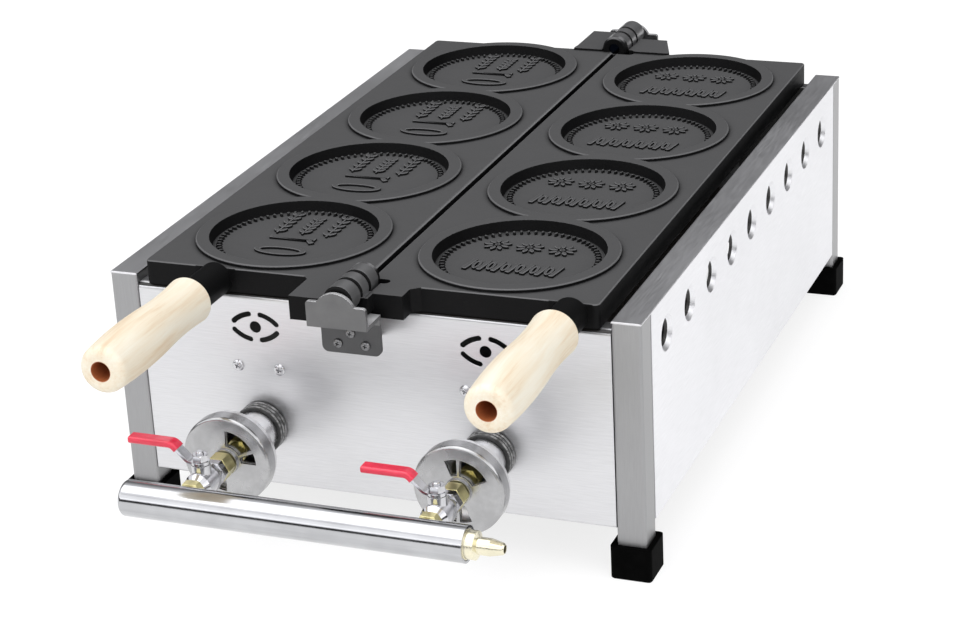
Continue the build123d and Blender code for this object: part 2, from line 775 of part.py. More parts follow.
for side_name, side, window_from, window_widths in sides_of_mixer:
    at = side * burner_x
    axis_plane = axial_plane(at, frame_front, burner_axis)
    axis_line = forward_axis(at, frame_front, burner_axis)

    collar_back = seat_gap - panel_inset
    collar_outline = [(collar_back, inlet_radius + seat_gap)]
    for i in range(collar_ridges):
        collar_outline.append((2 * i * ridge if i else collar_back, collar_radius - collar_groove))
        collar_outline.append(((2 * i + collar_flank) * ridge, collar_radius))
        collar_outline.append(((2 * i + 2 - collar_flank) * ridge, collar_radius))
    collar_outline.append((collar_length, collar_radius - collar_groove))
    collar_outline.append((collar_length, inlet_radius + seat_gap))
    with BuildPart() as collar:
        revolve(outline(axis_plane, collar_outline), axis=axis_line)
    save(collar, f"{side_name}_collar")

    bell_inside = bell_face_radius - bell_wall
    ring_end = bell_start + bell_ring_length
    face_bore = injector_radius + shutter_bore_play
    with BuildPart() as mixer:
        with BuildSketch(axis_plane):
            with BuildLine():
                neck = Polyline(
                    (collar_length + seat_gap, inlet_radius - inlet_wall),
                    (collar_length + seat_gap, neck_radius),
                    (neck_end, neck_radius),
                )
                flare = TangentArc(neck @ 1, (bell_start, bell_back_radius), tangent=(1, 0))
                Polyline(
                    flare @ 1,
                    (bell_start, bell_ring_radius),
                    (ring_end, bell_ring_radius),
                    (ring_end, bell_face_radius),
                    (bell_face, bell_face_radius),
                    (bell_face, face_bore),
                    (bell_face - bell_wall, face_bore),
                    (bell_face - bell_wall, bell_inside),
                    (bell_start + bell_wall, bell_inside),
                )
                throat = (neck_end, inlet_radius - inlet_wall)
                TangentArc(throat, (bell_start + bell_wall, bell_inside), tangent=(1, 0))
                Line(throat, neck @ 0)
            make_face()
        revolve(axis=axis_line)
        window_plane = front_plane(at, frame_front - bell_face + bell_wall, burner_axis)
        extrude(air_windows(window_plane, window_from, window_widths), amount=bell_wall, mode=Mode.SUBTRACT)
    save(mixer, f"{side_name}_mixer")

    cap_back = bell_face + shutter_play
    cap_front = cap_back + shutter_sheet
    skirt_inside = bell_face_radius + shutter_play
    skirt_back = ring_end + shutter_play
    shutter_outline = [
        (skirt_back, skirt_inside),
        (skirt_back, skirt_inside + shutter_sheet),
        (cap_front, skirt_inside + shutter_sheet),
        (cap_front, shutter_hub_radius),
        (cap_front + shutter_hub_height, shutter_hub_radius),
        (cap_front + shutter_hub_height, face_bore),
        (cap_back, face_bore),
        (cap_back, skirt_inside),
    ]
    with BuildPart() as shutter:
        revolve(outline(axis_plane, shutter_outline), axis=axis_line)
        skirt_rims = shutter.edges().filter_by(GeomType.CIRCLE).sort_by(SortBy.RADIUS)[-2:]
        fillet(skirt_rims.sort_by(Axis.Y)[0], radius=shutter_bend)
        shutter_plane = front_plane(at, frame_front - cap_back, burner_axis)
        extrude(air_windows(shutter_plane, window_from, window_widths), amount=shutter_sheet, mode=Mode.SUBTRACT)
    save(shutter, f"{side_name}_air_shutter")

    shank_outline = [
        (injector_start, 0),
        (injector_start, nozzle_radius),
        (inner_nut_start, injector_radius),
        (inlet_nut_start, injector_radius),
        (inlet_nut_start, 0),
    ]
    with BuildPart() as injector:
        revolve(outline(axis_plane, shank_outline), axis=axis_line)
        with BuildSketch(front_plane(at, frame_front - inner_nut_start, burner_axis)):
            RegularPolygon(inner_nut_flats / 2, 6, major_radius=False)
        extrude(amount=inner_nut_end - inner_nut_start)
        with BuildSketch(front_plane(at, frame_front - injector_start, burner_axis)):
            Circle(nozzle_radius / 2)
        extrude(amount=inlet_nut_start - injector_start, mode=Mode.SUBTRACT)
    save(injector, f"{side_name}_injector")

    with BuildPart() as inlet_nut:
        with BuildSketch(front_plane(at, frame_front - inlet_nut_start, burner_axis)):
            RegularPolygon(nut_flats / 2, 6, major_radius=False)
            Circle(valve_bore_radius, mode=Mode.SUBTRACT)
        extrude(amount=inlet_nut_end - inlet_nut_start)
    save(inlet_nut, f"{side_name}_inlet_nut")

    stem_y = frame_front - valve_stem_at
    with BuildPart() as valve_body:
        boss_reach = valve_boss_radius + valve_boss_margin
        body_outline = [
            (inlet_nut_end, 0),
            (inlet_nut_end, tail_radius),
            (valve_start, tail_radius),
            (valve_start + valve_hex_length, valve_back_radius),
            (valve_stem_at - boss_reach, valve_radius),
            (valve_stem_at + boss_reach, valve_radius),
            (valve_end, valve_front_radius),
            (valve_end, 0),
        ]
        revolve(outline(axis_plane, body_outline), axis=axis_line)
        with BuildSketch(front_plane(at, frame_front - valve_start, burner_axis)):
            RegularPolygon(nut_flats / 2, 6, major_radius=False)
        extrude(amount=valve_hex_length)
        with BuildSketch(Plane.XY.offset(burner_axis)):
            with Locations((at, stem_y)):
                Circle(valve_boss_radius)
        extrude(amount=valve_boss_height)
        with BuildSketch(front_plane(at, frame_front - inlet_nut_end, burner_axis)):
            Circle(valve_bore_radius)
        extrude(amount=valve_end - inlet_nut_end, mode=Mode.SUBTRACT)
        with Locations((at, stem_y, burner_axis)):
            Sphere(ball_radius + ball_play, rotation=(0, 0, 45), mode=Mode.SUBTRACT)
        with BuildSketch(Plane.XY.offset(burner_axis)):
            with Locations((at, stem_y)):
                Circle(stem_radius + stem_play)
        extrude(amount=valve_boss_height, mode=Mode.SUBTRACT)
    save(valve_body, f"{side_name}_valve_body")

    hub_bottom = burner_axis + valve_boss_height + seat_gap
    hub_top = hub_bottom + lever_sheet
    stem_top = hub_top + lever_nut_height + stem_stand
    stem_bottom = burner_axis + ball_radius - stem_in_ball
    with BuildPart() as valve_ball:
        with Locations((at, stem_y, burner_axis)):
            Sphere(ball_radius)
            Cylinder(valve_bore_radius, 3 * ball_radius, rotation=(0, 90, 0), mode=Mode.SUBTRACT)
        with BuildSketch(Plane.XY.offset(stem_bottom)):
            with Locations((at, stem_y)):
                Circle(stem_radius + stem_play)
        extrude(amount=ball_radius, mode=Mode.SUBTRACT)
    save(valve_ball, f"{side_name}_valve_ball")

    with BuildPart() as valve_stem:
        with BuildSketch(Plane.XY.offset(stem_bottom)):
            with Locations((at, stem_y)):
                Circle(stem_radius)
        extrude(amount=stem_top - stem_bottom)
        chamfer(valve_stem.edges().group_by(Axis.Z)[-1], length=stem_bevel)
    save(valve_stem, f"{side_name}_valve_stem")

    lever_middle = hub_bottom + lever_sheet / 2
    slope_end = lever_knee + lever_slope
    with BuildPart() as lever:
        with BuildLine(front_plane(at, stem_y, lever_middle)):
            lever_points = [(0, 0), (-lever_knee, 0), (-slope_end, lever_lift), (-lever_length, lever_lift)]
            FilletPolyline(*lever_points, radius=lever_bend)
        with BuildSketch(Plane(origin=(at, stem_y, lever_middle), x_dir=(0, 1, 0), z_dir=(-1, 0, 0))):
            Rectangle(lever_width, lever_sheet)
        sweep()
        with BuildSketch(Plane.XY.offset(hub_bottom)):
            with Locations((at, stem_y)):
                Circle(hub_radius)
        extrude(amount=lever_sheet)
        with BuildSketch(Plane.XY.offset(hub_bottom)):
            with Locations((at, stem_y)):
                Circle(stem_radius + stem_play)
        extrude(amount=lever_sheet, mode=Mode.SUBTRACT)
    save(lever, f"{side_name}_lever")

    sleeve_x = sleeve_on_slope - slope_end
    sleeve_z = lever_lift * (1 - sleeve_on_slope / lever_slope)
    sleeve_width = lever_width + 2 * (sleeve_play + sleeve_skin)
    sleeve_origin = (at + sleeve_x, stem_y, lever_middle + sleeve_z)
    sleeve_mouth = Plane(origin=sleeve_origin, x_dir=(0, 1, 0), z_dir=(-lever_slope, 0, lever_lift))
    with BuildPart() as sleeve:
        with BuildLine(front_plane(at, stem_y, lever_middle)):
            sleeve_tip = (-lever_length - sleeve_overhang, lever_lift)
            FilletPolyline((sleeve_x, sleeve_z), (-slope_end, lever_lift), sleeve_tip, radius=lever_bend)
        with BuildSketch(sleeve_mouth):
            RectangleRounded(sleeve_width, sleeve_thickness, sleeve_rounding)
        sweep()
        fillet(sleeve.edges().group_by(Axis.X)[0], radius=sleeve_rounding / 2)
        with BuildLine(front_plane(at, stem_y, lever_middle)):
            pocket_end = (-lever_length - sleeve_play, lever_lift)
            FilletPolyline((sleeve_x, sleeve_z), (-slope_end, lever_lift), pocket_end, radius=lever_bend)
        with BuildSketch(sleeve_mouth):
            Rectangle(lever_width + 2 * sleeve_play, lever_sheet + 2 * sleeve_play)
        sweep(mode=Mode.SUBTRACT)
    save(sleeve, f"{side_name}_lever_sleeve")

    with BuildPart() as lever_nut:
        with BuildSketch(Plane.XY.offset(hub_top)):
            with Locations((at, stem_y)):
                RegularPolygon(lever_nut_flats / 2, 6, major_radius=False)
                Circle(stem_radius + stem_play, mode=Mode.SUBTRACT)
        extrude(amount=lever_nut_height)
    save(lever_nut, f"{side_name}_lever_nut")

    with BuildPart() as outlet_nut:
        with BuildSketch(front_plane(at, frame_front - outlet_nut_start, burner_axis)):
            RegularPolygon(nut_flats / 2, 6, major_radius=False)
            Circle(tail_radius + tail_play, mode=Mode.SUBTRACT)
        extrude(amount=outlet_nut_end - outlet_nut_start)
    save(outlet_nut, f"{side_name}_outlet_nut")

# Manifold: closed tube across the front, with a stub for each valve and the hose nozzle at its right
manifold_y = frame_front - manifold_at
manifold_length = manifold_right - manifold_left

with BuildPart() as manifold:
    with BuildSketch(Plane(origin=(manifold_left, manifold_y, burner_axis), z_dir=(1, 0, 0))):
        Circle(manifold_radius)
    extrude(amount=manifold_length)
    fillet(manifold.edges().group_by(Axis.X)[0], radius=manifold_rounding)
    for side_name, side in pair:
        with BuildSketch(front_plane(side * burner_x, frame_front - outlet_nut_start, burner_axis)):
            Circle(tail_radius)
        extrude(amount=manifold_at - outlet_nut_start)
    with BuildSketch(Plane(origin=(manifold_left + manifold_wall, manifold_y, burner_axis), z_dir=(1, 0, 0))):
        Circle(manifold_radius - manifold_wall)
    extrude(amount=manifold_length, mode=Mode.SUBTRACT)
save(manifold, "manifold")

nozzle_plane = Plane(origin=(manifold_right, manifold_y, burner_axis), x_dir=(1, 0, 0), z_dir=(0, -1, 0))
land_start = nozzle_collar_length + nozzle_shoulder
nozzle_outline = [
    (-nozzle_shank_length, nozzle_bore_radius),
    (-nozzle_shank_length, manifold_radius - manifold_wall - seat_gap),
    (0, manifold_radius - manifold_wall - seat_gap),
    (0, nozzle_collar_radius),
    (nozzle_collar_length, nozzle_collar_radius),
    (land_start, nozzle_land_radius),
    (land_start + nozzle_land_length, nozzle_land_radius),
    (nozzle_length - nozzle_tip_bevel, nozzle_tip_radius),
    (nozzle_length, nozzle_tip_radius - nozzle_tip_bevel),
    (nozzle_length, nozzle_bore_radius),
]
with BuildPart() as hose_nozzle:
    revolve(outline(nozzle_plane, nozzle_outline), axis=Axis((0, manifold_y, burner_axis), (1, 0, 0)))
save(hose_nozzle, "hose_nozzle")
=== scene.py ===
# %% [markdown]
# # A gas coin waffle maker
# This scene dresses a packed CAD model of a countertop cooker for coin-shaped cakes. The model gives
# every rigid piece at its real size, so the scene adds what a camera sees closer up: finishes, the
# relief in the moulds, and small fastenings. Each step says what the real piece is, how it could be
# made, and why this way was chosen.

# %% Load the frame
import json
import math

import bmesh
import bpy
from mathutils import Matrix, Vector


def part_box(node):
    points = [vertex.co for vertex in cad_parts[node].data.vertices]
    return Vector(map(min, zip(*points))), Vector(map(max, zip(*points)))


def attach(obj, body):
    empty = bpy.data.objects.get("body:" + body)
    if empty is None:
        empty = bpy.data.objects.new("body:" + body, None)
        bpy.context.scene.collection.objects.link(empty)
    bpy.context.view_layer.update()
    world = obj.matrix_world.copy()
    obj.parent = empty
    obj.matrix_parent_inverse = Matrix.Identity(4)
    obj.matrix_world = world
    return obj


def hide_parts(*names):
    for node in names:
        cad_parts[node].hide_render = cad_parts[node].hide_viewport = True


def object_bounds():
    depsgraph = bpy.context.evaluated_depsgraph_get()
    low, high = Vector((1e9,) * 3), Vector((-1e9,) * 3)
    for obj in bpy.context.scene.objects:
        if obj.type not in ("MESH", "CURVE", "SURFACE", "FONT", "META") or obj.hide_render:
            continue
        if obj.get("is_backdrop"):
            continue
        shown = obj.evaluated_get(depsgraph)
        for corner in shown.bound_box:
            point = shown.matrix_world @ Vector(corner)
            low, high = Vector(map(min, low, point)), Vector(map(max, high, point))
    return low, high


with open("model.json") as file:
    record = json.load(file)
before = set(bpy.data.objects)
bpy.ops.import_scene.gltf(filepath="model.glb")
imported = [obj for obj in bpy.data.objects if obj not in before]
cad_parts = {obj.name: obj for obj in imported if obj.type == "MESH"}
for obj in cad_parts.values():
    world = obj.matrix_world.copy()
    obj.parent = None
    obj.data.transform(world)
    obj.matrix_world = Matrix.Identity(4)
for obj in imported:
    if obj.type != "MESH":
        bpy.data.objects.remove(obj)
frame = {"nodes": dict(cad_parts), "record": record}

MM = 0.001
# A length in metres that is well past the cooker on any side
FAR = 1.0
SIDES = ("left", "right")
ENDS = ("front", "rear")

cad_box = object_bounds()
nodes = frame["nodes"]
scene = bpy.context.scene


def link(item):
    """Puts an object into the scene."""
    scene.collection.objects.link(item)
    return item


def both_sides(*names):
    """The left and the right node of each name."""
    return [f"{side}_{name}" for side in SIDES for name in names]


def middle_of(node):
    """The middle of a node's box."""
    low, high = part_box(node)
    return (low + high) / 2


# %% [markdown]
# ## Camera
# The photograph was taken from the front right, a little above the cooker, with a long lens. A camera
# can be placed by eye, or solved from straight edges of the object. Here it was solved, because then
# every piece falls on its own pixels. Two directions give its turn, where it looks and its right, and
# its top follows from them.

# %% The camera
CAMERA_AT = Vector((0.5649, -1.4011, 0.7023))
LOOK = Vector((-0.3475, 0.8545, -0.3859)).normalized()
RIGHT = Vector((0.9326, 0.3574, -0.0484))
FRAME_WIDTH_PX = 960
FOCAL_PX = 2494.3
SENSOR_MM = 36.0
FARTHEST_SEEN = 50.0

right = (RIGHT - RIGHT.dot(LOOK) * LOOK).normalized()
turn = Matrix((right, right.cross(LOOK), -LOOK)).transposed()
camera = link(bpy.data.objects.new("camera", bpy.data.cameras.new("camera")))
camera.data.sensor_width = SENSOR_MM
camera.data.lens = SENSOR_MM * FOCAL_PX / FRAME_WIDTH_PX
camera.data.clip_end = FARTHEST_SEEN
camera.matrix_world = Matrix.Translation(CAMERA_AT) @ turn.to_4x4()
bpy.context.scene.camera = camera
print("lens:", round(camera.data.lens, 1), "mm")

# %% [markdown]
# ## Studio
# Polished metal shows the room more than itself. A product studio is a white, lit table and a large
# soft light overhead, with a dark strip of room between them, and that strip is the dark line along the
# gas tube. Cards could be hung for each reflection, but a room whose brightness follows the height
# serves every piece at once. So the room is a world shader that is dark near the horizon and bright
# higher up, and two area lights give the wood and the castings their shape. The table is one big plane.

# %% Table and room
TABLE_SIZE = 14.0
# How bright the room is at a height, from the horizon to straight up, before and behind the cooker
FRONT_LEVELS = (
    (0, 0.03), (0.19, 0.05), (0.25, 2.2), (0.42, 1.6), (0.6, 1.5), (0.635, 0.9), (0.67, 1.4), (1, 1.2),
)
BACK_LEVELS = ((0, 0.04), (0.45, 0.08), (0.62, 0.3), (0.85, 1.1), (1, 1.2))
# Where the room turns from front to back, along Y
ROOM_TURN = (-0.15, 0.35)
ROOM_BLUE = 1.02
# A Mix node has sockets for every kind of value: these are its two colours and their mix
MIX_FIRST, MIX_SECOND, MIX_RESULT = 6, 7, 2

half = TABLE_SIZE / 2
corners = [(-half, -half, 0), (half, -half, 0), (half, half, 0), (-half, half, 0)]
floor_mesh = bpy.data.meshes.new("floor")
floor_mesh.from_pydata(corners, [], [(0, 1, 2, 3)])
floor = link(bpy.data.objects.new("floor", floor_mesh))
floor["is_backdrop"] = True

world = bpy.data.worlds.new("room")
scene.world = world
world.use_nodes = True
room = world.node_tree
axes = room.nodes.new("ShaderNodeSeparateXYZ")
room.links.new(room.nodes.new("ShaderNodeTexCoord").outputs["Generated"], axes.inputs[0])


def wall(levels):
    """How bright one side of the room is, from its heights and levels."""
    ramp = room.nodes.new("ShaderNodeValToRGB")
    room.links.new(axes.outputs["Z"], ramp.inputs[0])
    while len(ramp.color_ramp.elements) < len(levels):
        ramp.color_ramp.elements.new(0.5)
    for stop, (position, level) in zip(ramp.color_ramp.elements, levels):
        stop.position = position
        stop.color = (level, level, ROOM_BLUE * level, 1)
    return ramp.outputs["Color"]


to_the_back = room.nodes.new("ShaderNodeMapRange")
for label, place in zip(("From Min", "From Max"), ROOM_TURN):
    to_the_back.inputs[label].default_value = place
room.links.new(axes.outputs["Y"], to_the_back.inputs["Value"])
walls = room.nodes.new("ShaderNodeMix")
walls.data_type = "RGBA"
room.links.new(to_the_back.outputs["Result"], walls.inputs["Factor"])
room.links.new(wall(FRONT_LEVELS), walls.inputs[MIX_FIRST])
room.links.new(wall(BACK_LEVELS), walls.inputs[MIX_SECOND])
room.links.new(walls.outputs[MIX_RESULT], room.nodes["Background"].inputs["Color"])
print("room levels:", len(FRONT_LEVELS), "in front,", len(BACK_LEVELS), "behind")


# %% Two soft lights
def soft_light(name, place, aim, size, watts):
    """A rectangular soft box at place that faces aim."""
    lamp = bpy.data.lights.new(name, "AREA")
    lamp.shape = "RECTANGLE"
    lamp.size, lamp.size_y = size
    lamp.energy = watts
    box = link(bpy.data.objects.new(name, lamp))
    box.location = place
    box.rotation_euler = (Vector(aim) - Vector(place)).to_track_quat("-Z", "Y").to_euler()


soft_light("overhead", place=(-0.5, -0.6, 2.2), aim=(0, 0, 0.1), size=(2.6, 2.2), watts=22)
soft_light("side_light", place=(2.4, 0.4, 1.5), aim=(0, 0, 0.12), size=(1.8, 1.0), watts=8)
scene.view_settings.view_transform = "Standard"

# %% [markdown]
# ## A helper for finishes
# Every finish below is a small tree of shader nodes. Such a tree can be drawn by hand in the shader
# editor, or written out node by node. A class that adds nodes with short calls keeps each recipe to a
# few lines. Patterns are placed with a Mapping node of the Texture kind, which reads as "centred here,
# one cell this big", in metres. Masks are numbers from 0 to 1 that say where a finish changes: within a
# box, near an axis, or on faces that look a certain way.

# %% The finish helper
BEVEL_SAMPLES = 4


def rgba(value):
    """A colour or a grey as four numbers. A socket stays as it is."""
    if isinstance(value, bpy.types.NodeSocket):
        return value
    return (*value, 1) if isinstance(value, tuple) else (value, value, value, 1)


class Finish:
    """One material whose nodes are added by short calls."""

    def __init__(self, name, roughness, metallic=0.0, **sockets):
        self.material = bpy.data.materials.new(name)
        self.material.use_nodes = True
        self.tree = self.material.node_tree
        self.shader = self.tree.nodes["Principled BSDF"]
        self.skin = None
        self.give(self.shader, {"Roughness": roughness, "Metallic": metallic})
        self.give(self.shader, {key.replace("_", " "): value for key, value in sockets.items()})

    def give(self, node, inputs):
        """Sets or links the inputs of a node."""
        for key, value in inputs.items():
            if isinstance(value, bpy.types.NodeSocket):
                self.tree.links.new(value, node.inputs[key])
            else:
                node.inputs[key].default_value = value

    def add(self, kind, inputs=(), output=0, **settings):
        """Adds a node and returns one of its outputs."""
        node = self.tree.nodes.new("ShaderNode" + kind)
        for key, value in settings.items():
            setattr(node, key, value)
        self.give(node, dict(inputs))
        return node.outputs[output]

    def place(self, centre=(0, 0, 0), cell=(1, 1, 1)):
        """Object coordinates with their zero at centre, in units of cell."""
        point = self.add("TexCoord", output="Object")
        inputs = {"Vector": point, "Location": centre, "Scale": cell}
        return self.add("Mapping", inputs, vector_type="TEXTURE")

    def noise(self, cell, detail, roughness=0.5, centre=(0, 0, 0)):
        """A cloudy pattern with blobs of about one cell, which may differ along each axis."""
        cell = cell if isinstance(cell, tuple) else (cell, cell, cell)
        inputs = {"Vector": self.place(centre, cell), "Scale": 1.0, "Detail": detail, "Roughness": roughness}
        return self.add("TexNoise", inputs)

    def ramp(self, value, *stops):
        """A colour ramp: each stop is (position, colour or grey)."""
        node = self.tree.nodes.new("ShaderNodeValToRGB")
        self.tree.links.new(value, node.inputs[0])
        while len(node.color_ramp.elements) < len(stops):
            node.color_ramp.elements.new(0.5)
        for element, (position, colour) in zip(node.color_ramp.elements, stops):
            element.position = position
            element.color = rgba(colour)
        return node.outputs[0]

    def math(self, operation, first, second=0.0):
        """One operation on two numbers."""
        return self.add("Math", {0: first, 1: second}, operation=operation)

    def share(self, part, first, second):
        """That part of the first pattern, and the rest of the second."""
        own = self.math("MULTIPLY", first, part)
        rest = self.math("MULTIPLY", second, 1 - part)
        return self.math("ADD", own, rest)

    def spread(self, value, low, high, start=0.0, end=1.0):
        """Stretches a value from low..high to start..end, and keeps it there."""
        inputs = {"Value": value, "From Min": low, "From Max": high, "To Min": start, "To Max": end}
        return self.add("MapRange", inputs)

    def mix(self, factor, first, second):
        """The first colour where the factor is 0, and the second where it is 1."""
        node = self.tree.nodes.new("ShaderNodeMix")
        node.data_type = "RGBA"
        self.give(node, {0: factor, MIX_FIRST: rgba(first), MIX_SECOND: rgba(second)})
        return node.outputs[MIX_RESULT]

    def colour(self, value):
        """Links the base colour, and keeps it as the skin for a later change."""
        self.skin = value
        self.give(self.shader, {"Base Color": rgba(value)})

    def rough(self, value):
        """Links the roughness."""
        self.give(self.shader, {"Roughness": value})

    def rounded(self, radius):
        """The surface's normal as if its sharp edges had that radius."""
        return self.add("Bevel", {"Radius": radius}, samples=BEVEL_SAMPLES)

    def bump(self, value, height, radius):
        """Bumps of that height in metres, on edges rounded to that radius."""
        inputs = {"Height": value, "Distance": height, "Normal": self.rounded(radius)}
        self.give(self.shader, {"Normal": self.add("Bump", inputs)})

    def upward(self, radius):
        """How far a surface faces up, from -1 to 1, with its edges rounded to that radius."""
        own = self.add(
            "VectorTransform", {"Vector": self.rounded(radius)},
            vector_type="NORMAL", convert_from="WORLD", convert_to="OBJECT",
        )
        return self.add("SeparateXYZ", {0: own}, output="Z")

    def reach(self, low, high):
        """How far out a point lies in a box: 0 in its middle, 1 at its faces."""
        centre = tuple((a + b) / 2 for a, b in zip(low, high))
        extent = tuple((b - a) / 2 for a, b in zip(low, high))
        folded = self.add("VectorMath", {0: self.place(centre, extent)}, operation="ABSOLUTE")
        x, y, z = self.add("SeparateXYZ", {0: folded}).node.outputs
        return self.math("MAXIMUM", self.math("MAXIMUM", x, y), z)

    def inside(self, low, high):
        """1 within a box, 0 outside it."""
        return self.math("LESS_THAN", self.reach(low, high), 1.0)

    def faces_in(self, limit=0.001):
        """1 where a surface doesn't look outwards, to the left or right; 0 where it does."""
        normal = self.add("NewGeometry", output="Normal")
        sideways = self.add("VectorMath", {0: normal, 1: (1, 0, 0)}, operation="MULTIPLY")
        inputs = {0: sideways, 1: self.place()}
        outwards = self.add("VectorMath", inputs, output="Value", operation="DOT_PRODUCT")
        return self.math("LESS_THAN", outwards, limit)

    def round_face(self, slant=0.2):
        """1 where a surface lies along Y, as the outside of a knuckle does; 0 at its ends and chamfers."""
        across = self.add("SeparateXYZ", {0: self.add("NewGeometry", output="Normal")}, output="Y")
        return self.math("LESS_THAN", self.math("ABSOLUTE", across), slant)

    def from_axis(self, x, z):
        """Distance from the two lines along Y at plus and minus x, at the height z."""
        folded = self.add("VectorMath", {0: self.place()}, operation="ABSOLUTE")
        moved = self.add("VectorMath", {0: folded, 1: (x, 0, z)}, operation="SUBTRACT")
        flat = self.add("VectorMath", {0: moved, 1: (1, 0, 1)}, operation="MULTIPLY")
        return self.add("VectorMath", {0: flat}, output="Value", operation="LENGTH")


def shaded(tone, level):
    """A tone made darker or lighter, up to white."""
    return tuple(min(1.0, level * part) for part in tone)


def wear(*names, finish):
    """Gives CAD nodes their finish."""
    for name in names:
        nodes[name].data.materials.clear()
        nodes[name].data.materials.append(finish.material)


print("finish helper:", [name for name in vars(Finish) if not name.startswith("_")])

# %% [markdown]
# ## Satin sheet
# The housing is stainless sheet with a fine brushed grain that runs along each panel. Reflections in it
# smear across the grain. Each scratch could be modelled, but they are far too small. A noise that is
# drawn out about 20 times along the grain gives the streaks, and the shader's anisotropy, with a tangent
# along the grain, gives the smear. The level tops of the side panels get a painted shade: their colour is
# darker where they face up, for the dark room that they reflect.
#
# The inside of the housing, which the windows show, is near black: partly soot from the burners, and
# partly a painted shade for the dark inside. A box that ends halfway through the sheet turns the faces
# that look into it to that black. The vents of the side panels are funnels that are pressed inwards: their
# faces look outwards, so they stay bright, and only their deep end is black, as a painted shade.

# %% Brushed stainless sheet and tube
STREAK_LENGTH = 15.714 * MM
STREAK_WIDTH = 0.7 * MM
STREAK_SHARE = 0.6
CLOUD_SIZE = (110 * MM, 130 * MM, 90 * MM)
SMEAR = 0.55
# Inside the housing the sheet is near black: soot, and a painted shade for the dark inside and the deep vent
# ends
SOOT_AND_SHADE_BLACK = (0.012, 0.011, 0.010)
DEEP_SHADE_DEPTH = 1.9 * MM
HALF_SHEET = 0.5 * MM

panel_low, panel_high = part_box("front_panel")
panels_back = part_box("rear_panel")[1].y
rail_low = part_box("left_side_panel")[0]
rail_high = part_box("right_side_panel")[1]


def hearth_below(top):
    """The hearth's box up to that height, which ends halfway through the sheet all round."""
    low = (rail_low.x + HALF_SHEET, panel_low.y + HALF_SHEET, 0)
    high = (rail_high.x - HALF_SHEET, panels_back - HALF_SHEET, top - HALF_SHEET)
    return low, high


def soot_and_shade_mask(finish, low, high):
    """1 on what looks into the hearth's box, as soot and painted shade, and on all that lies deep in it, as
    painted shade.
    """
    deep = finish.inside((low[0] + DEEP_SHADE_DEPTH, *low[1:]), (high[0] - DEEP_SHADE_DEPTH, *high[1:]))
    looks_in = finish.math("MULTIPLY", finish.inside(low, high), finish.faces_in())
    return finish.math("MAXIMUM", deep, looks_in)


def brushed(name, tone, roughness, along, hearth=None, level=1.0):
    """Brushed steel with its grain along X, Y or Z, near black with soot and painted shade in the hearth's
    box, and with a painted shade on level tops where level is below 1.
    """
    finish = Finish(name, roughness, 1.0, Anisotropic=SMEAR)
    cell = tuple(STREAK_LENGTH if axis == along else STREAK_WIDTH for axis in "XYZ")
    streaks = finish.noise(cell, detail=4, roughness=0.65)
    shade = finish.share(STREAK_SHARE, streaks, finish.noise(CLOUD_SIZE, detail=2))
    steel = finish.ramp(shade, (0.36, shaded(tone, 0.91)), (0.64, shaded(tone, 1.05)))
    # Painted shade: faces that look up get a darker tone, for the dark room that they reflect
    if level < 1.0:
        painted_top_shade = finish.spread(finish.upward(0.4 * MM), 0.75, 0.95)
        steel = finish.mix(painted_top_shade, steel, shaded(tone, level))
    if hearth:
        # Soot and painted shade inside the hearth's box
        soot_and_shade = soot_and_shade_mask(finish, *hearth)
        steel = finish.mix(soot_and_shade, steel, SOOT_AND_SHADE_BLACK)
        finish.give(finish.shader, {"Metallic": finish.math("SUBTRACT", 1.0, soot_and_shade)})
    finish.colour(steel)
    finish.rough(finish.spread(shade, 0.35, 0.65, roughness - 0.05, roughness + 0.08))
    finish.give(finish.shader, {"Tangent": finish.add("CombineXYZ", {along: 1.0})})
    finish.bump(streaks, height=0.03 * MM, radius=0.6 * MM)
    return finish


# Each has a name, a tone, a roughness and the axis of its grain
panel_sheet = brushed("panel_sheet", (0.71, 0.71, 0.725), 0.36, "X", hearth_below(panel_high.z))
# level=0.55 paints a shade on the level tops of the side panels
side_sheet = brushed("side_sheet", (0.84, 0.84, 0.86), 0.38, "Y", hearth_below(rail_high.z), level=0.55)
leg_tube = brushed("leg_tube", (0.37, 0.37, 0.375), 0.38, "Z")
wear("front_panel", "rear_panel", finish=panel_sheet)
wear("left_side_panel", "right_side_panel", finish=side_sheet)
wear(*(f"{end}_{leg}" for end in ENDS for leg in both_sides("leg")), finish=leg_tube)
print("brushed:", [finish.material.name for finish in (panel_sheet, side_sheet, leg_tube)])

# %% [markdown]
# ## Coated castings
# The moulds are cast iron with a black non-stick coat. Light and shade are painted into its colour: level
# faces get a painted lit grey, upright faces stay nearly black, edges get a painted highlight, and creases
# a painted shade. A coat can be painted by hand on an unwrapped mesh, but rules hold on every casting. The
# Bevel node rounds edges for the shader alone, so one value, how far the rounded surface faces up, gives
# the painted level, upright and edge tones. An Ambient Occlusion node that looks only a few millimetres
# far, at its own piece, finds the creases for their painted shade.
#
# Two places follow rules of their own. The bosses that carry the handles are black all over. Past the
# panels the hinge knuckles are worn to bare iron where they are round, and black at their chamfers.

# %% Mould coat
# Painted light on the coat: a lit grey for level faces and a highlight grey for edges
PAINTED_LIT_GREY = (0.073, 0.073, 0.074)
PAINTED_EDGE_HIGHLIGHT = (0.17, 0.17, 0.173)
COAT_BLACK = (0.003, 0.003, 0.0032)
DUST_GREY = (0.03, 0.03, 0.031)
KNUCKLE_GREY = (0.30, 0.30, 0.305)
COAT_LIGHT_AND_SHADE = ((0.50, COAT_BLACK), (0.78, PAINTED_EDGE_HIGHLIGHT), (0.92, PAINTED_EDGE_HIGHLIGHT), (0.985, PAINTED_LIT_GREY))
# Creases get a painted shade within this reach
CREASE_REACH = 3.5 * MM
CREASE_SAMPLES = 6
BOSS_REACH = 13.0 * MM
KNUCKLE_REACH = 10.0 * MM


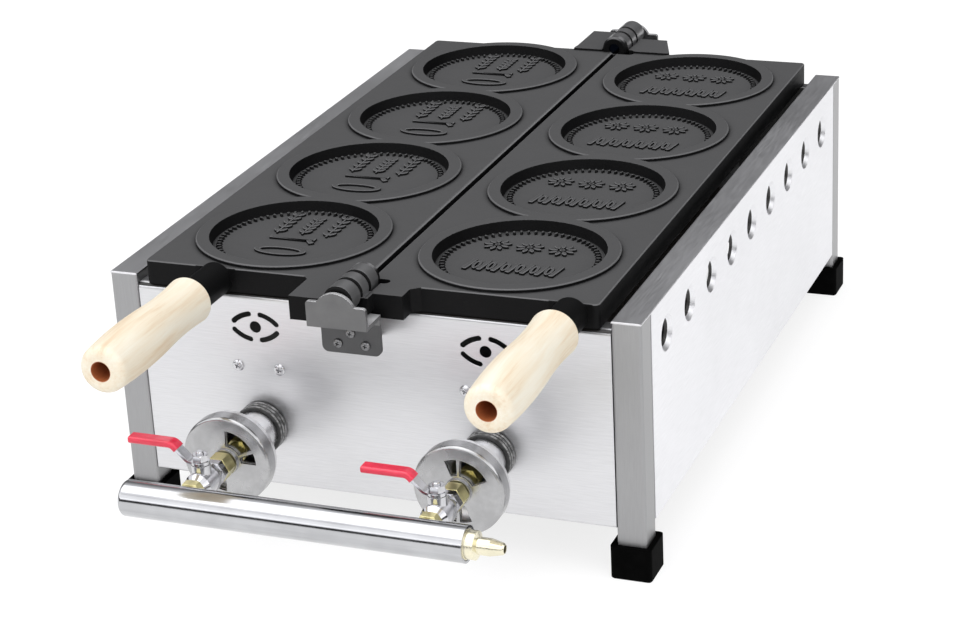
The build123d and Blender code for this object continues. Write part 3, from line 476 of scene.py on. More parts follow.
def painted_coat_tone(finish, dust):
    """Painted light and shade: a lit grey where level, a highlight along edges, black where upright, and a
    painted shade in creases; with a little real dust.
    """
    tone = finish.ramp(finish.upward(0.4 * MM), *COAT_LIGHT_AND_SHADE)
    # Painted shade: creases turn black where Ambient Occlusion finds little open space
    inputs = {"Distance": CREASE_REACH}
    open_air = finish.add("AmbientOcclusion", inputs, output="AO", samples=CREASE_SAMPLES, only_local=True)
    tone = finish.mix(finish.spread(open_air, 0.35, 0.95), COAT_BLACK, tone)
    return finish.mix(finish.spread(dust, 0.3, 0.75, 0.0, 0.12), tone, DUST_GREY)


def with_black_bosses(finish, tone):
    """The tone, but black on the bosses that carry the handles, before the front panel."""
    for grip in both_sides("grip"):
        middle = middle_of(grip)
        low = (middle.x - BOSS_REACH, -FAR, middle.z - BOSS_REACH)
        high = (middle.x + BOSS_REACH, panel_low.y, middle.z + BOSS_REACH)
        tone = finish.mix(finish.inside(low, high), tone, COAT_BLACK)
    return tone


def past_the_panels(finish):
    """1 near the hinge line, where that is before the front panel or behind the rear one."""
    hinge_x, _, hinge_z = frame["record"]["behaviour"]["joints"][0]["pos_m"]
    near_pin = finish.math("LESS_THAN", finish.from_axis(hinge_x, hinge_z), KNUCKLE_REACH)
    between = finish.inside((-FAR, panel_low.y, -FAR), (FAR, panels_back, FAR))
    return finish.math("MULTIPLY", near_pin, finish.math("SUBTRACT", 1.0, between))


def coated(name):
    """Black non-stick coat over cast iron with painted light and shade, worn through on the hinge knuckles.
    """
    finish = Finish(name, 0.52, Specular_IOR_Level=0.1)
    dust = finish.noise(50 * MM, detail=5, roughness=0.6)
    grain = finish.noise(1.2 * MM, detail=2)
    tone = with_black_bosses(finish, painted_coat_tone(finish, dust))
    knuckle = past_the_panels(finish)
    bare = finish.math("MULTIPLY", knuckle, finish.round_face())
    finish.colour(finish.mix(bare, finish.mix(knuckle, tone, COAT_BLACK), KNUCKLE_GREY))
    finish.give(finish.shader, {"Metallic": finish.math("MULTIPLY", bare, 0.8)})
    finish.rough(finish.mix(bare, finish.spread(dust, 0.3, 0.7, 0.46, 0.6), 0.3))
    finish.bump(grain, height=0.08 * MM, radius=0.8 * MM)
    return finish


mould_coat = coated("mould_coat")
wear("left_mould_plate", "right_mould_plate", finish=mould_coat)
print("coat:", mould_coat.material.name, "with", len(mould_coat.tree.nodes), "nodes")

# %% [markdown]
# ## Turned wood
# The grips are pale, unvarnished wood turned on a lathe. Their grain runs along the handle, so both
# patterns, the fine fibre and the broad figure, are drawn out that way. A wave texture would give neat
# growth rings, but this wood shows only soft streaks, which noise gives. Each grip has a finish of its
# own: its figure is moved, so that the two aren't twins, and its red-brown bore is found by the distance
# from its own axis.

# %% Wooden grips
BORE_RADIUS = 5.9 * MM
BORE_FADE = 1.05
BORE_BROWN = (0.42, 0.13, 0.045)
WOOD_TONES = ((0.34, (0.70, 0.55, 0.38)), (0.46, (0.78, 0.69, 0.54)), (0.62, (0.82, 0.77, 0.65)))
FIBRE = (1.6 * MM, 50 * MM, 1.6 * MM)
FIGURE = (12 * MM, 90 * MM, 12 * MM)
FIBRE_SHARE = 0.35
FIGURE_SHIFT = 13 * MM


def turned_wood(name, centre, shift):
    """Pale wood with its grain along Y, for a grip with that centre."""
    finish = Finish(name, 0.55, Specular_IOR_Level=0.35)
    fibre = finish.noise(FIBRE, detail=4, roughness=0.6, centre=(shift, 0, 0))
    figure = finish.noise(FIGURE, detail=3, roughness=0.55, centre=(0, shift, 0))
    wood = finish.ramp(finish.share(FIBRE_SHARE, fibre, figure), *WOOD_TONES)
    radius = finish.from_axis(abs(centre.x), centre.z)
    bored = finish.spread(radius, BORE_RADIUS, BORE_FADE * BORE_RADIUS, 1.0, 0.0)
    finish.colour(finish.mix(bored, wood, BORE_BROWN))
    finish.bump(fibre, height=0.1 * MM, radius=0.5 * MM)
    return finish


for number, side in enumerate(SIDES, start=1):
    wood = turned_wood(f"{side}_wood", middle_of(f"{side}_grip"), FIGURE_SHIFT * number)
    wear(f"{side}_grip", finish=wood)
    low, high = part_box(f"{side}_grip")
    print(side, "grip:", [round(v / MM) for v in high - low], "mm")

# %% [markdown]
# ## Bright fittings
# The taps are chrome-plated, the nuts are raw brass and the hose nozzle a paler one, the mixers are cast
# alloy, and the tube is polished steel. The rings at the handles and the hinge pins are blued nearly
# black. Each could have a recipe of its own, but all are metals that differ in the same few ways: tone,
# roughness, and the marks of their making, such as turned rings or a drawn grain. So one function with
# those inputs makes them all.

# %% Chrome, brass, alloy and steel
MACHINED_EDGE = 0.4 * MM
DRAWN_ALONG_Y = (0.6 * MM, 10 * MM, 0.6 * MM)
TURNED_ABOUT_Y = (10 * MM, 1 * MM, 10 * MM)
FINELY_TURNED = (10 * MM, 0.5 * MM, 10 * MM)
BROADLY_TURNED = (20 * MM, 0.5 * MM, 20 * MM)
DRAWN_ALONG_X = (120 * MM, 3 * MM, 3 * MM)


def metal(name, tone, roughness, cell, depth=0.02 * MM):
    """A machined metal with marks of that cell size and depth."""
    finish = Finish(name, roughness, 1.0)
    marks = finish.noise(cell, detail=3, roughness=0.6)
    clouds = finish.noise(20 * MM, detail=2)
    stained = finish.math("MULTIPLY", marks, clouds)
    finish.colour(finish.ramp(stained, (0.14, shaded(tone, 0.86)), (0.34, tone)))
    finish.rough(finish.spread(clouds, 0.3, 0.7, 0.8 * roughness, 1.3 * roughness))
    finish.bump(marks, depth, MACHINED_EDGE)
    return finish


# Each has a name, a tone, a roughness and the size of its marks
chrome = metal("chrome", (0.62, 0.62, 0.64), 0.10, 4 * MM)
brass = metal("brass", (0.82, 0.75, 0.40), 0.3, DRAWN_ALONG_Y)
pale_brass = metal("pale_brass", (0.88, 0.83, 0.64), 0.24, DRAWN_ALONG_Y)
alloy = metal("alloy", (0.82, 0.82, 0.83), 0.30, BROADLY_TURNED)
disc_steel = metal("disc_steel", (0.46, 0.46, 0.465), 0.24, 6 * MM)
tube_steel = metal("tube_steel", (0.53, 0.535, 0.55), 0.12, DRAWN_ALONG_X, depth=0.008 * MM)
zinc = metal("zinc", (0.66, 0.66, 0.68), 0.22, 1 * MM)
dull_zinc = metal("dull_zinc", (0.24, 0.24, 0.245), 0.3, 1 * MM)
plain_steel = metal("plain_steel", (0.18, 0.18, 0.182), 0.42, TURNED_ABOUT_Y)
blued = metal("blued", (0.012, 0.016, 0.028), 0.2, FINELY_TURNED)

wear(*both_sides("valve_body", "valve_ball", "valve_stem", "lever", "lever_nut"), finish=chrome)
wear(*both_sides("injector", "inlet_nut", "outlet_nut"), finish=brass)
wear("hose_nozzle", finish=pale_brass)
wear(*both_sides("mixer"), finish=alloy)
wear(*both_sides("air_shutter"), finish=disc_steel)
wear("manifold", finish=tube_steel)
wear(*both_sides("ferrule"), "front_hinge_pin", "rear_hinge_pin", finish=blued)
wear(*both_sides("burner_hanger", "handle_rod"), "rear_burner_supports", finish=plain_steel)
wear("front_hinge_standoff", "rear_hinge_standoff", finish=plain_steel)
metals = (chrome, brass, pale_brass, alloy, disc_steel, tube_steel, zinc, dull_zinc, plain_steel, blued)
print("metals:", [finish.material.name for finish in metals])

# %% [markdown]
# ## Hinge brackets
# Each bracket is a strip of plain steel, bent so that its foot lies lower than its bell-shaped upright.
# Its foot gets a painted shade, a darker grey, and the narrow edges that face up get a painted highlight.
# Two finishes on two groups of faces would show a hard border where the bend is smooth, and a CAD mesh
# can't be split here. So one finish takes the plain steel, and two masks paint light and shade into its
# skin: a box over the foot for the shade, and how far a surface faces up for the highlight.

# %% Bracket steel
FOOT_HEIGHT = 19.5 * MM
# Painted shade on the foot, and a painted highlight on edges that face up
FOOT_SHADE_GREY = (0.10, 0.10, 0.102)
BRACKET_EDGE_HIGHLIGHT = (0.80, 0.80, 0.81)

bracket_steel = metal("bracket_steel", (0.19, 0.19, 0.192), 0.42, TURNED_ABOUT_Y)
foot_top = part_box("front_hinge_bracket")[0].z + FOOT_HEIGHT
on_foot = bracket_steel.inside((-FAR, -FAR, 0), (FAR, FAR, foot_top))
# A painted highlight on edges that face up, then a painted shade on the foot
top_edge_highlight = bracket_steel.spread(bracket_steel.upward(0.6 * MM), 0.3, 0.6)
foot_shaded = bracket_steel.mix(on_foot, bracket_steel.skin, FOOT_SHADE_GREY)
bracket_steel.colour(bracket_steel.mix(top_edge_highlight, foot_shaded, BRACKET_EDGE_HIGHLIGHT))
wear("front_hinge_bracket", "rear_hinge_bracket", finish=bracket_steel)
print("foot of a bracket: up to", round(foot_top / MM, 1), "mm")

# %% [markdown]
# ## Rubber, black paint, raw casting and red sleeves
# Four duller finishes are left. Rubber is dark with a faint bloom. Paint is dark with a broad shine, and
# on the crests of the ribbed collars it is pale: partly chips where it is rubbed through, and partly a
# painted highlight on the ridges. A raw casting is rough, and the dipped sleeves are soft and shiny. Flat
# colours would look like plastic, so each gets one noise that drives both its colour and its bumps, which
# is enough at this size.

# %% Rubber boots
rubber = Finish("rubber", 0.66, Specular_IOR_Level=0.02)
bloom = rubber.noise(6 * MM, detail=4, roughness=0.6)
rubber.colour(rubber.ramp(bloom, (0.3, 0.0008), (0.75, 0.002)))
rubber.bump(bloom, height=0.06 * MM, radius=1.2 * MM)
wear(*(f"{end}_{boot}" for end in ENDS for boot in both_sides("boot")), finish=rubber)
print("rubber:", len(ENDS) * len(SIDES), "boots")

# %% Black paint on the collars
CREST_RADIUS = 15.4 * MM

black_paint = Finish("black_paint", 0.34, Coat_Weight=0.1)
chips = black_paint.noise(3 * MM, detail=4, roughness=0.65)
mixer_axis = middle_of("right_mixer")
from_mixer = black_paint.from_axis(mixer_axis.x, mixer_axis.z)
on_crest = black_paint.math("GREATER_THAN", from_mixer, CREST_RADIUS)
black = black_paint.ramp(chips, (0.50, 0.004), (0.74, 0.03))
# Pale crests: partly chipped paint, and partly a painted highlight on the ridges
crest_chips_and_highlight = black_paint.ramp(chips, (0.40, 0.03), (0.62, 0.30))
black_paint.colour(black_paint.mix(on_crest, black, crest_chips_and_highlight))
black_paint.bump(chips, height=0.08 * MM, radius=0.4 * MM)
wear(*both_sides("collar"), finish=black_paint)
print("paint is chipped beyond", round(CREST_RADIUS / MM, 1), "mm from the mixer's axis")

# %% Raw iron and red vinyl
raw_iron = Finish("raw_iron", 0.7, 0.4)
sand = raw_iron.noise(2 * MM, detail=5, roughness=0.65)
raw_iron.colour(raw_iron.ramp(sand, (0.3, (0.03, 0.028, 0.026)), (0.7, (0.10, 0.085, 0.075))))
raw_iron.bump(sand, height=0.3 * MM, radius=1.0 * MM)
wear(*both_sides("burner"), finish=raw_iron)

vinyl = Finish("red_vinyl", 0.28, Coat_Weight=0.5, Coat_Roughness=0.12)
folds = vinyl.noise((10 * MM, 5 * MM, 5 * MM), detail=2)
vinyl.colour(vinyl.ramp(folds, (0.3, (0.62, 0.012, 0.045)), (0.7, (0.80, 0.03, 0.075))))
vinyl.bump(folds, height=0.2 * MM, radius=0.8 * MM)
wear(*both_sides("lever_sleeve"), finish=vinyl)
print("raw iron:", both_sides("burner"), "vinyl:", both_sides("lever_sleeve"))

# %% [markdown]
# ## The lit table
# The table glows a little, as a lit acrylic sheet does, so shadows stay faint and polished metal has
# something pale to show from below. Under the cooker there is no such light: through its windows the
# photograph shows black. A shadow alone can't darken a surface that glows, so the glow itself is linked
# to how far out a point lies in the cooker's footprint, and fades to nothing in the middle.

# %% The table's finish
FLOOR_GLOW = 0.8
SHADE_FRONT = 110 * MM
SHADE_SIDE = 50 * MM
GLOW_STARTS = 0.7
GLOW_IS_FULL = 1.05

floor_paint = Finish("floor_paint", 0.9, Specular_IOR_Level=0.1, Emission_Color=(1, 1, 1, 1))
floor_paint.colour(floor_paint.ramp(floor_paint.noise(2.0, detail=1), (0.3, 0.24), (0.7, 0.26)))
shade_low = (rail_low.x, panel_low.y + SHADE_FRONT, -FAR)
shade_high = (rail_high.x - SHADE_SIDE, panels_back, FAR)
way_out = floor_paint.reach(shade_low, shade_high)
glow = floor_paint.spread(way_out, GLOW_STARTS, GLOW_IS_FULL, 0.0, FLOOR_GLOW)
floor_paint.give(floor_paint.shader, {"Emission Strength": glow})
floor.data.materials.append(floor_paint.material)
print("shade on the table:", [round((b - a) / MM) for a, b in zip(shade_low, shade_high)][:2], "mm")

# %% [markdown]
# ## Geometry Nodes for what repeats
# A cooker like this repeats a few small shapes many times: ticks round a cavity, four cavities in a row,
# screws. Copies could be made in a loop, but a node tree keeps the recipe apart from its numbers. The
# class below builds such a tree, sets its inputs, and returns what it makes as one plain mesh.


# %% The recipe helper
def settled(holder, *tools):
    """The mesh of an object once its curve or modifiers are worked out. The object and its tools go."""
    graph = bpy.context.evaluated_depsgraph_get()
    mesh = bpy.data.meshes.new_from_object(holder.evaluated_get(graph))
    for used in (holder, *tools):
        bpy.data.objects.remove(used)
    return mesh


class Recipe:
    """A Geometry Nodes tree that is built by short calls."""

    def __init__(self, name, **inputs):
        self.tree = bpy.data.node_groups.new(name, "GeometryNodeTree")
        sockets = self.tree.interface
        for label, kind in inputs.items():
            sockets.new_socket(label.replace("_", " "), in_out="INPUT", socket_type="NodeSocket" + kind)
        sockets.new_socket("Geometry", in_out="OUTPUT", socket_type="NodeSocketGeometry")
        self.entry = self.tree.nodes.new("NodeGroupInput")

    def value(self, label):
        """One of the tree's own inputs."""
        return self.entry.outputs[label]

    def add(self, kind, inputs=(), output=0, **settings):
        """Adds a node and returns one of its outputs."""
        node = self.tree.nodes.new(kind)
        for key, value in settings.items():
            setattr(node, key, value)
        for key, value in dict(inputs).items():
            if isinstance(value, bpy.types.NodeSocket):
                self.tree.links.new(value, node.inputs[key])
            else:
                node.inputs[key].default_value = value
        return node.outputs[output]

    def join(self, *parts):
        """Joins geometries into one."""
        node = self.tree.nodes.new("GeometryNodeJoinGeometry")
        for part in parts:
            self.tree.links.new(part, node.inputs[0])
        return node.outputs[0]

    def close(self, geometry):
        """Realizes the geometry, gives it the Finish input and ends the tree."""
        solid = self.add("GeometryNodeRealizeInstances", {"Geometry": geometry})
        dressed = self.add("GeometryNodeSetMaterial", {"Geometry": solid, "Material": self.value("Finish")})
        self.tree.links.new(dressed, self.tree.nodes.new("NodeGroupOutput").inputs[0])

    def make(self, name, carrier=None, **values):
        """Runs the tree on a carrier mesh and returns its result as a plain mesh object."""
        carrier = carrier or bpy.data.meshes.new(name + "_carrier")
        holder = link(bpy.data.objects.new(name + "_holder", carrier))
        modifier = holder.modifiers.new("recipe", "NODES")
        modifier.node_group = self.tree
        for item in self.tree.interface.items_tree:
            if item.in_out == "INPUT" and item.name.replace(" ", "_") in values:
                modifier[item.identifier] = values[item.name.replace(" ", "_")]
        mesh = settled(holder)
        mesh.name = name
        return link(bpy.data.objects.new(name, mesh))


print("recipe helper:", [name for name in vars(Recipe) if not name.startswith("_")])

# %% [markdown]
# ## Relief in the moulds
# The floor of each cavity is engraved work: a ring of short ticks near the wall, as on a coin's edge, and
# a motif in the middle that the cake takes up. A pattern maker would carve it once, and cast all four.
# It could be sculpted, or pressed out of the floor by a displacement, but both need a very dense mesh for
# crisp edges. So each motif is drawn with closed outlines, which a flat curve fills, raises and bevels,
# and an outline inside another becomes a hole. The motifs are plain ones of the same scale: a numeral
# with leaf sprigs at the left, and rosettes over a frieze of slanted bars and hollow eggs at the right.

# %% Outlines for the motifs
RELIEF_HEIGHT = 1.8 * MM
RELIEF_BEVEL = 0.5 * MM
ROUND_STEPS = 40
LEAF_STEPS = 9
LEAF_BULGE = 0.8


def oval(centre, width, depth):
    """Closed outline of an ellipse."""
    steps = [2 * math.pi * i / ROUND_STEPS for i in range(ROUND_STEPS)]
    return [(centre[0] + width / 2 * math.cos(t), centre[1] + depth / 2 * math.sin(t)) for t in steps]


def leaf(root, angle, length, width):
    """Pointed leaf from its root, as two bulging edges."""
    steps = [i / LEAF_STEPS for i in range(LEAF_STEPS + 1)]
    edge = [(length * t, width / 2 * math.sin(math.pi * t) ** LEAF_BULGE) for t in steps]
    points = edge + [(along, -out) for along, out in reversed(edge[1:-1])]
    cos, sin = math.cos(angle), math.sin(angle)
    return [(root[0] + x * cos - y * sin, root[1] + x * sin + y * cos) for x, y in points]


def bar(start, end, width):
    """Straight bar between two points."""
    along = (Vector(end) - Vector(start)).normalized() * width / 2
    across = Vector((-along.y, along.x))
    corners = (Vector(start) - across, Vector(end) - across, Vector(end) + across, Vector(start) + across)
    return [tuple(corner) for corner in corners]


def raised(name, outlines):
    """Fills flat outlines, in millimetres, and raises them with bevelled edges."""
    curve = bpy.data.curves.new(name, "CURVE")
    curve.dimensions = "2D"
    curve.fill_mode = "BOTH"
    curve.extrude = (RELIEF_HEIGHT - RELIEF_BEVEL) / 2
    curve.bevel_depth = RELIEF_BEVEL
    curve.bevel_resolution = 1
    curve.offset = -RELIEF_BEVEL
    for outline in outlines:
        spline = curve.splines.new("POLY")
        spline.points.add(len(outline) - 1)
        for point, (x, y) in zip(spline.points, outline):
            point.co = (x * MM, y * MM, 0, 1)
        spline.use_cyclic_u = True
    mesh = settled(link(bpy.data.objects.new(name, curve)))
    mesh.transform(Matrix.Translation((0, 0, RELIEF_HEIGHT / 2 - RELIEF_BEVEL)))
    return bpy.data.objects.new(name, mesh)


print("points in an oval:", ROUND_STEPS, "and in a leaf:", 2 * LEAF_STEPS)

# %% The two motifs, in millimetres from a cavity's middle
STEM_WIDTH = 1.1
LEAF_LENGTH = 6.4
LEAF_WIDTH = 3.0
LEAF_OFFSET = 0.7
LEAF_PAIRS = 5
BARE_FOOT = 2
BARE_TIP = 4
# How far a leaf leans from its stem, as a part of half a turn
LEAF_LEAN = 0.18
FRIEZE_BARS = 7
FRIEZE_START = -27
FRIEZE_PITCH = 9
FRIEZE_LEAN = 1.2


def sprig(x, low, high):
    """Stem along Y with pairs of leaves, and with its foot and tip left bare."""
    outlines = [bar((x, low), (x, high), STEM_WIDTH)]
    step = (high - low - BARE_FOOT - BARE_TIP) / (LEAF_PAIRS - 1)
    for i in range(LEAF_PAIRS):
        for hand in (1, -1):
            root = (x + LEAF_OFFSET * hand, low + BARE_FOOT + i * step)
            outlines.append(leaf(root, math.pi * (0.5 - LEAF_LEAN * hand), LEAF_LENGTH, LEAF_WIDTH))
    return outlines


def rosette(centre, petals, reach):
    """Ring of petals round a hollow button, with its sizes as parts of its reach."""
    outlines = [oval(centre, 0.42 * reach, 0.42 * reach), oval(centre, 0.2 * reach, 0.2 * reach)]
    for i in range(petals):
        angle = 2 * math.pi * (i + 0.5) / petals
        root = (centre[0] + 0.3 * reach * math.cos(angle), centre[1] + 0.3 * reach * math.sin(angle))
        outlines.append(leaf(root, angle, 0.72 * reach, 0.34 * reach))
    return outlines


nought = [oval((-1, -19.5), 34, 14), oval((-1, -19.5), 26, 7.5)]
one = [bar((-17, 1.5), (13, 1.5), 4.6), bar((9.2, 0), (13, -4.6), 3.4)]
numeral = nought + one
for stem in ((-16, 8, 41), (0.5, 9, 36), (17, 8, 42)):
    numeral += sprig(*stem)

frieze = []
for flower_x in (-22, -1.5, 19):
    frieze += rosette((flower_x, 21), 9, 8.6)
for i in range(FRIEZE_BARS):
    bar_x = FRIEZE_START + i * FRIEZE_PITCH
    frieze.append(bar((bar_x - FRIEZE_LEAN, -20), (bar_x + FRIEZE_LEAN, -5), 3.0))
    if i < FRIEZE_BARS - 1:
        egg = (bar_x + FRIEZE_PITCH / 2, -12.5)
        frieze += [oval(egg, 5.2, 12.5), oval(egg, 1.4, 7.5)]

motifs = {"left": raised("numeral", numeral), "right": raised("frieze", frieze)}
print("motif faces:", {side: len(motif.data.polygons) for side, motif in motifs.items()})

# %% The relief recipe: ticks and a motif, repeated in every cavity
TICK_SIDES = 8
TICK_FOOT = 0.5
TICK_TOP = 0.32

relief = Recipe(
    "relief", Motif="Object", Ticks="Int", Ring_Radius="Float", Tick_Size="Vector",
    Cavities="Int", Pitch="Vector", First_Centre="Vector", Finish="Material",
)
block = relief.add(
    "GeometryNodeMeshCone",
    {"Vertices": TICK_SIDES, "Radius Top": TICK_TOP, "Radius Bottom": TICK_FOOT, "Depth": 1.0},
)
tick = relief.add("GeometryNodeTransform", {"Geometry": block, "Scale": relief.value("Tick Size")})
ring = relief.add(
    "GeometryNodeMeshCircle", {"Vertices": relief.value("Ticks"), "Radius": relief.value("Ring Radius")}
)
from_middle = {"Vector": relief.add("GeometryNodeInputPosition")}
outwards = relief.add("FunctionNodeAlignRotationToVector", from_middle, axis="X")
ticks = relief.add("GeometryNodeInstanceOnPoints", {"Points": ring, "Instance": tick, "Rotation": outwards})
motif = relief.add("GeometryNodeObjectInfo", {"Object": relief.value("Motif")}, output="Geometry")
row = relief.add(
    "GeometryNodeMeshLine",
    {
        "Count": relief.value("Cavities"),
        "Start Location": relief.value("First Centre"),
        "Offset": relief.value("Pitch"),
    },
    mode="OFFSET",
)
pattern = relief.join(motif, ticks)
relief.close(relief.add("GeometryNodeInstanceOnPoints", {"Points": row, "Instance": pattern}))
print("relief recipe:", len(relief.tree.nodes), "nodes")

# %% Relief for both moulds
TICK_COUNT = 66
TICK_RING_RADIUS = 46.2 * MM
TICK_SIZE = (4.4 * MM, 2.1 * MM, 1.8 * MM)
SUNK_IN_FLOOR = 0.2 * MM

openings = frame["record"]["physics"]["openings"]
for side, body in (("left", "left_plate"), ("right", "right_plate")):
    boxes = [opening["box_m"] for opening in openings if opening["name"].startswith(side + "_cavity")]
    centres = [(Vector(low) + Vector(high)) / 2 for low, high in boxes]
    cavity_floor = boxes[0][0][2]
    piece = relief.make(
        side + "_relief", Motif=motifs[side], Ticks=TICK_COUNT, Ring_Radius=TICK_RING_RADIUS,
        Tick_Size=TICK_SIZE, Cavities=len(boxes), Pitch=(0, centres[1].y - centres[0].y, 0),
        First_Centre=(centres[0].x, centres[0].y, cavity_floor - SUNK_IN_FLOOR),
        Finish=mould_coat.material,
    )
    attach(piece, body)
    print(piece.name, len(piece.data.polygons), "faces")
for motif_object in motifs.values():
    bpy.data.objects.remove(motif_object)

# %% [markdown]
# ## Screws
# Pan-head screws with a cross recess hold the hinge brackets and the burners. The CAD node holds all the
# screws of a kind as plain studs, so its separate islands give each screw's place and length. A recess
# could be a bump in the finish, but it is deep enough to cast a shadow. So the head is a turned profile,
# and a tapered cross is cut out of it.

# %% Turned shapes
TURN_STEPS = 32


def turned(name, profile):
    """Spins (radius, height) points about Z into a closed mesh."""
    mesh = bpy.data.meshes.new(name)
    shape = bmesh.new()
    angles = [2 * math.pi * i / TURN_STEPS for i in range(TURN_STEPS)]
    last = None
    for radius, level in profile:
        if radius == 0:
            current = [shape.verts.new((0, 0, level))] * TURN_STEPS
        else:
            current = [shape.verts.new((radius * math.cos(t), radius * math.sin(t), level)) for t in angles]
        if last:
            for i in range(TURN_STEPS):
                after = (i + 1) % TURN_STEPS
                corners = [last[i], last[after], current[after], current[i]]
                unique = list(dict.fromkeys(corners))
                if len(unique) > 2:
                    shape.faces.new(unique)
        last = current
    bmesh.ops.recalc_face_normals(shape, faces=shape.faces)
    shape.to_mesh(mesh)
    shape.free()
    return mesh


print("steps round a turned shape:", TURN_STEPS)

# %% One screw
# Sizes of a screw, in parts of its head's radius
HEAD_HEIGHT = 0.59
SHANK_RADIUS = 0.6
RECESS_REACH = 0.6
RECESS_WIDTH = 0.29
RECESS_DEPTH = 0.41
# The recess's width at its bottom, as a part of its width at the top
RECESS_TAPER = 0.55
# Radius and height of the head's dome, in parts of its radius and its height
DOME = ((0, 0), (0.35, -0.02), (0.6, -0.1), (0.8, -0.24), (0.93, -0.46), (1.0, -0.78), (1.0, -1.0))


def recess_tool(head):
    """Two crossed wedges that cut the recess of a screw with that head radius."""
    mesh = bpy.data.meshes.new("recess")
    shape = bmesh.new()
    for spin in (0, 90):
        wedge = bmesh.ops.create_cube(shape, size=1)["verts"]
        for corner in wedge:
            taper = RECESS_TAPER if corner.co.z < 0 else 1.0
            size = (2 * RECESS_REACH * taper, RECESS_WIDTH * taper, 2 * RECESS_DEPTH)
            corner.co = Vector(a * b * head for a, b in zip(corner.co, size))
        bmesh.ops.rotate(shape, verts=wedge, matrix=Matrix.Rotation(math.radians(spin), 3, "Z"))
    shape.to_mesh(mesh)
    shape.free()
    return link(bpy.data.objects.new("recess", mesh))


def cross_screw(name, head, length):
    """Pan-head screw with that head radius, whose head top is at zero and whose shank points down."""
    shank = SHANK_RADIUS * head
    profile = [(r * head, z * HEAD_HEIGHT * head) for r, z in DOME]
    profile += [(shank, -HEAD_HEIGHT * head), (shank, -length), (0, -length)]
    blank = link(bpy.data.objects.new(name, turned(name, profile)))
    tool = recess_tool(head)
    cut = blank.modifiers.new("recess", "BOOLEAN")
    cut.object = tool
    cut.use_self = True
    return bpy.data.objects.new(name, settled(blank, tool))


print("points in a screw's head:", len(DOME))

# %% Where the studs are
SAME_POINT = 0.001 * MM


def islands(node):
    """The box of each separate solid in a CAD node, in order of place, so that each run is the same."""
    shape = bmesh.new()
    shape.from_mesh(nodes[node].data)
    bmesh.ops.remove_doubles(shape, verts=shape.verts, dist=SAME_POINT)
    left = set(shape.verts)
    found = []
    while left:
        group, queue = set(), [left.pop()]
        while queue:
            vertex = queue.pop()
            group.add(vertex)
            for edge in vertex.link_edges:
                other = edge.other_vert(vertex)
                if other in left:
                    left.remove(other)
                    queue.append(other)
        corners = list(zip(*(v.co for v in group)))
        found.append((Vector(map(min, corners)), Vector(map(max, corners))))
    shape.free()
    return sorted(found, key=lambda box: [round(v / MM) for v in box[0]])


def stud_points(name, boxes):
    """A mesh with a point at each stud's outer end, and the way that end faces."""
    points, facings = [], []
    for low, high in boxes:
        away = -1 if low.y < 0 else 1
        points.append(((low.x + high.x) / 2, low.y if away < 0 else high.y, (low.z + high.z) / 2))
        facings.append((0, away, 0))
    mesh = bpy.data.meshes.new(name)
    mesh.from_pydata(points, [], [])
    facing = mesh.attributes.new("facing", "FLOAT_VECTOR", "POINT")
    for item, way in zip(facing.data, facings):
        item.vector = way
    return mesh


print("studs:", {node: len(islands(node)) for node in ("bracket_screws", "burner_screws")})

# %% The screw recipe and both sets
BRACKET_HEAD_RADIUS = 2.9 * MM
BURNER_HEAD_RADIUS = 3.8 * MM
FIRST_SEED = 3
# A Random Value node has sockets for every kind of value: these are for plain numbers
RANDOM_MIN, RANDOM_MAX, RANDOM_RESULT = 2, 3, 1

screws = Recipe("screws", Carrier="Geometry", Screw="Object", Seed="Int", Finish="Material")
facing = screws.add("GeometryNodeInputNamedAttribute", {"Name": "facing"}, data_type="FLOAT_VECTOR")
upright = screws.add("FunctionNodeAlignRotationToVector", {"Vector": facing}, axis="Z")
spin = screws.add(
    "FunctionNodeRandomValue",
    {RANDOM_MIN: 0.0, RANDOM_MAX: math.pi / 2, "Seed": screws.value("Seed")},
    output=RANDOM_RESULT,
)
own_turn = screws.add("FunctionNodeAxisAngleToRotation", {"Axis": (0, 0, 1), "Angle": spin})
spun = screws.add(
    "FunctionNodeRotateRotation", {"Rotation": upright, "Rotate By": own_turn}, rotation_space="LOCAL"
)
screw_shape = screws.add("GeometryNodeObjectInfo", {"Object": screws.value("Screw")}, output="Geometry")
placed = {"Points": screws.value("Carrier"), "Instance": screw_shape, "Rotation": spun}
screws.close(screws.add("GeometryNodeInstanceOnPoints", placed))

screw_sets = (
    ("bracket_screws", dull_zinc, BRACKET_HEAD_RADIUS),
    ("burner_screws", zinc, BURNER_HEAD_RADIUS),
)
for seed, (node, screw_finish, head) in enumerate(screw_sets, start=FIRST_SEED):
    boxes = islands(node)
    low, high = boxes[0]
    screw = cross_screw(node + "_shape", head, high.y - low.y)
    piece = screws.make(
        node + "_cross", carrier=stud_points(node + "_points", boxes), Screw=screw, Seed=seed,
        Finish=screw_finish.material,
    )
    bpy.data.objects.remove(screw)
    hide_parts(node)
    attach(piece, "housing")
    print(piece.name, len(boxes), "screws,", len(piece.data.polygons), "faces")

# %% [markdown]
# ## Chamfered nuts
# A real hexagon nut is turned before its flats are milled, so a 30 degree cone cuts each corner and
# leaves an arc on every flat. The CAD nuts are plain hexagons. A Bevel modifier would cut all edges
# alike, and so miss the arcs. Here the machinist's rule gives the shape: a point on the side may stand no
# higher than the cone allows at its distance from the axis.

# %% Nuts whose corners are cut by a cone
NUT_STEPS = 60
CONE_SLOPE = math.tan(math.radians(30))
# Where the cone starts and how wide the flat end is, in parts of the size across the flats
CONE_START = 0.97
END_WIDTH = 0.94
INLET_BORE = 3.0 * MM
OUTLET_BORE = 4.65 * MM
LEVER_BORE = 2.35 * MM


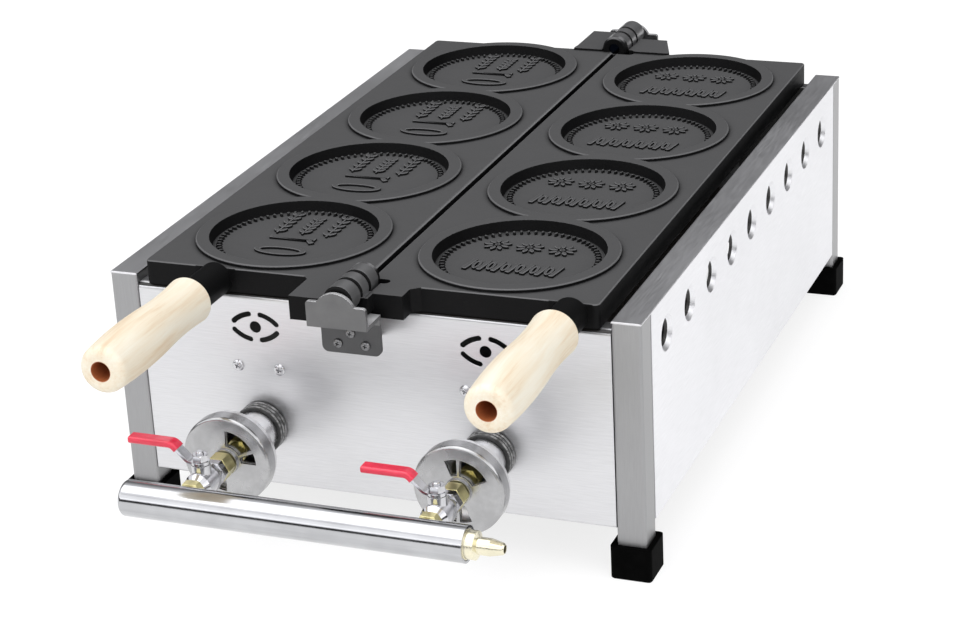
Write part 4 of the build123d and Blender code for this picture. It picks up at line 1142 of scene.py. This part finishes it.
def nut_end(across, length, bore, end):
    """Rings of a nut's lower end, -1, or upper end, 1: round its hole, round its face, round its side."""
    hole, face, side = [], [], []
    for i in range(NUT_STEPS):
        angle = 2 * math.pi * i / NUT_STEPS
        ray = Vector((math.cos(angle), math.sin(angle), 0))
        off_flat = angle % (math.pi / 3) - math.pi / 6
        reach = across / 2 / math.cos(off_flat)
        drop = CONE_SLOPE * (reach - CONE_START * across / 2)
        level = Vector((0, 0, end * length / 2))
        hole.append(bore * ray + level)
        face.append(END_WIDTH * across / 2 * ray + level)
        side.append(reach * ray + level - Vector((0, 0, end * drop)))
    return [hole, face, side]


def hexagon_nut(name, along, bore, finish, body):
    """Replaces a plain hexagon with corners along X by a nut along Y or Z, chamfered at both ends."""
    low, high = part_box(name + "_nut")
    size = dict(zip("XYZ", high - low))
    across = size["Z" if along == "Y" else "Y"]
    lower = nut_end(across, size[along], bore, -1)
    upper = nut_end(across, size[along], bore, 1)
    turn = Matrix.Rotation(math.radians(90), 3, "X") if along == "Y" else Matrix.Identity(3)
    middle = middle_of(name + "_nut")
    shape = bmesh.new()
    loops = [[shape.verts.new(middle + turn @ point) for point in ring] for ring in lower + upper[::-1]]
    for first, second in zip(loops, loops[1:] + loops[:1]):
        for i in range(NUT_STEPS):
            after = (i + 1) % NUT_STEPS
            shape.faces.new((first[i], first[after], second[after], second[i]))
    bmesh.ops.recalc_face_normals(shape, faces=shape.faces)
    mesh = bpy.data.meshes.new(name + "_hexagon")
    shape.to_mesh(mesh)
    shape.free()
    mesh.materials.append(finish.material)
    piece = link(bpy.data.objects.new(name + "_hexagon", mesh))
    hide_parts(name + "_nut")
    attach(piece, body)
    print(piece.name, round(across / MM, 1), "mm across its flats")


for side in SIDES:
    hexagon_nut(side + "_inlet", "Y", INLET_BORE, brass, "housing")
    hexagon_nut(side + "_outlet", "Y", OUTLET_BORE, brass, "housing")
    hexagon_nut(side + "_lever", "Z", LEVER_BORE, chrome, side + "_valve_lever")

# %% [markdown]
# ## Sizes
# The box of the CAD model, kept from the start, and the box of all that is seen now are gathered in one
# dictionary.

# %% Sizes of the CAD model and of all that is seen
boxes = {"cad": cad_box, "visual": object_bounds()}
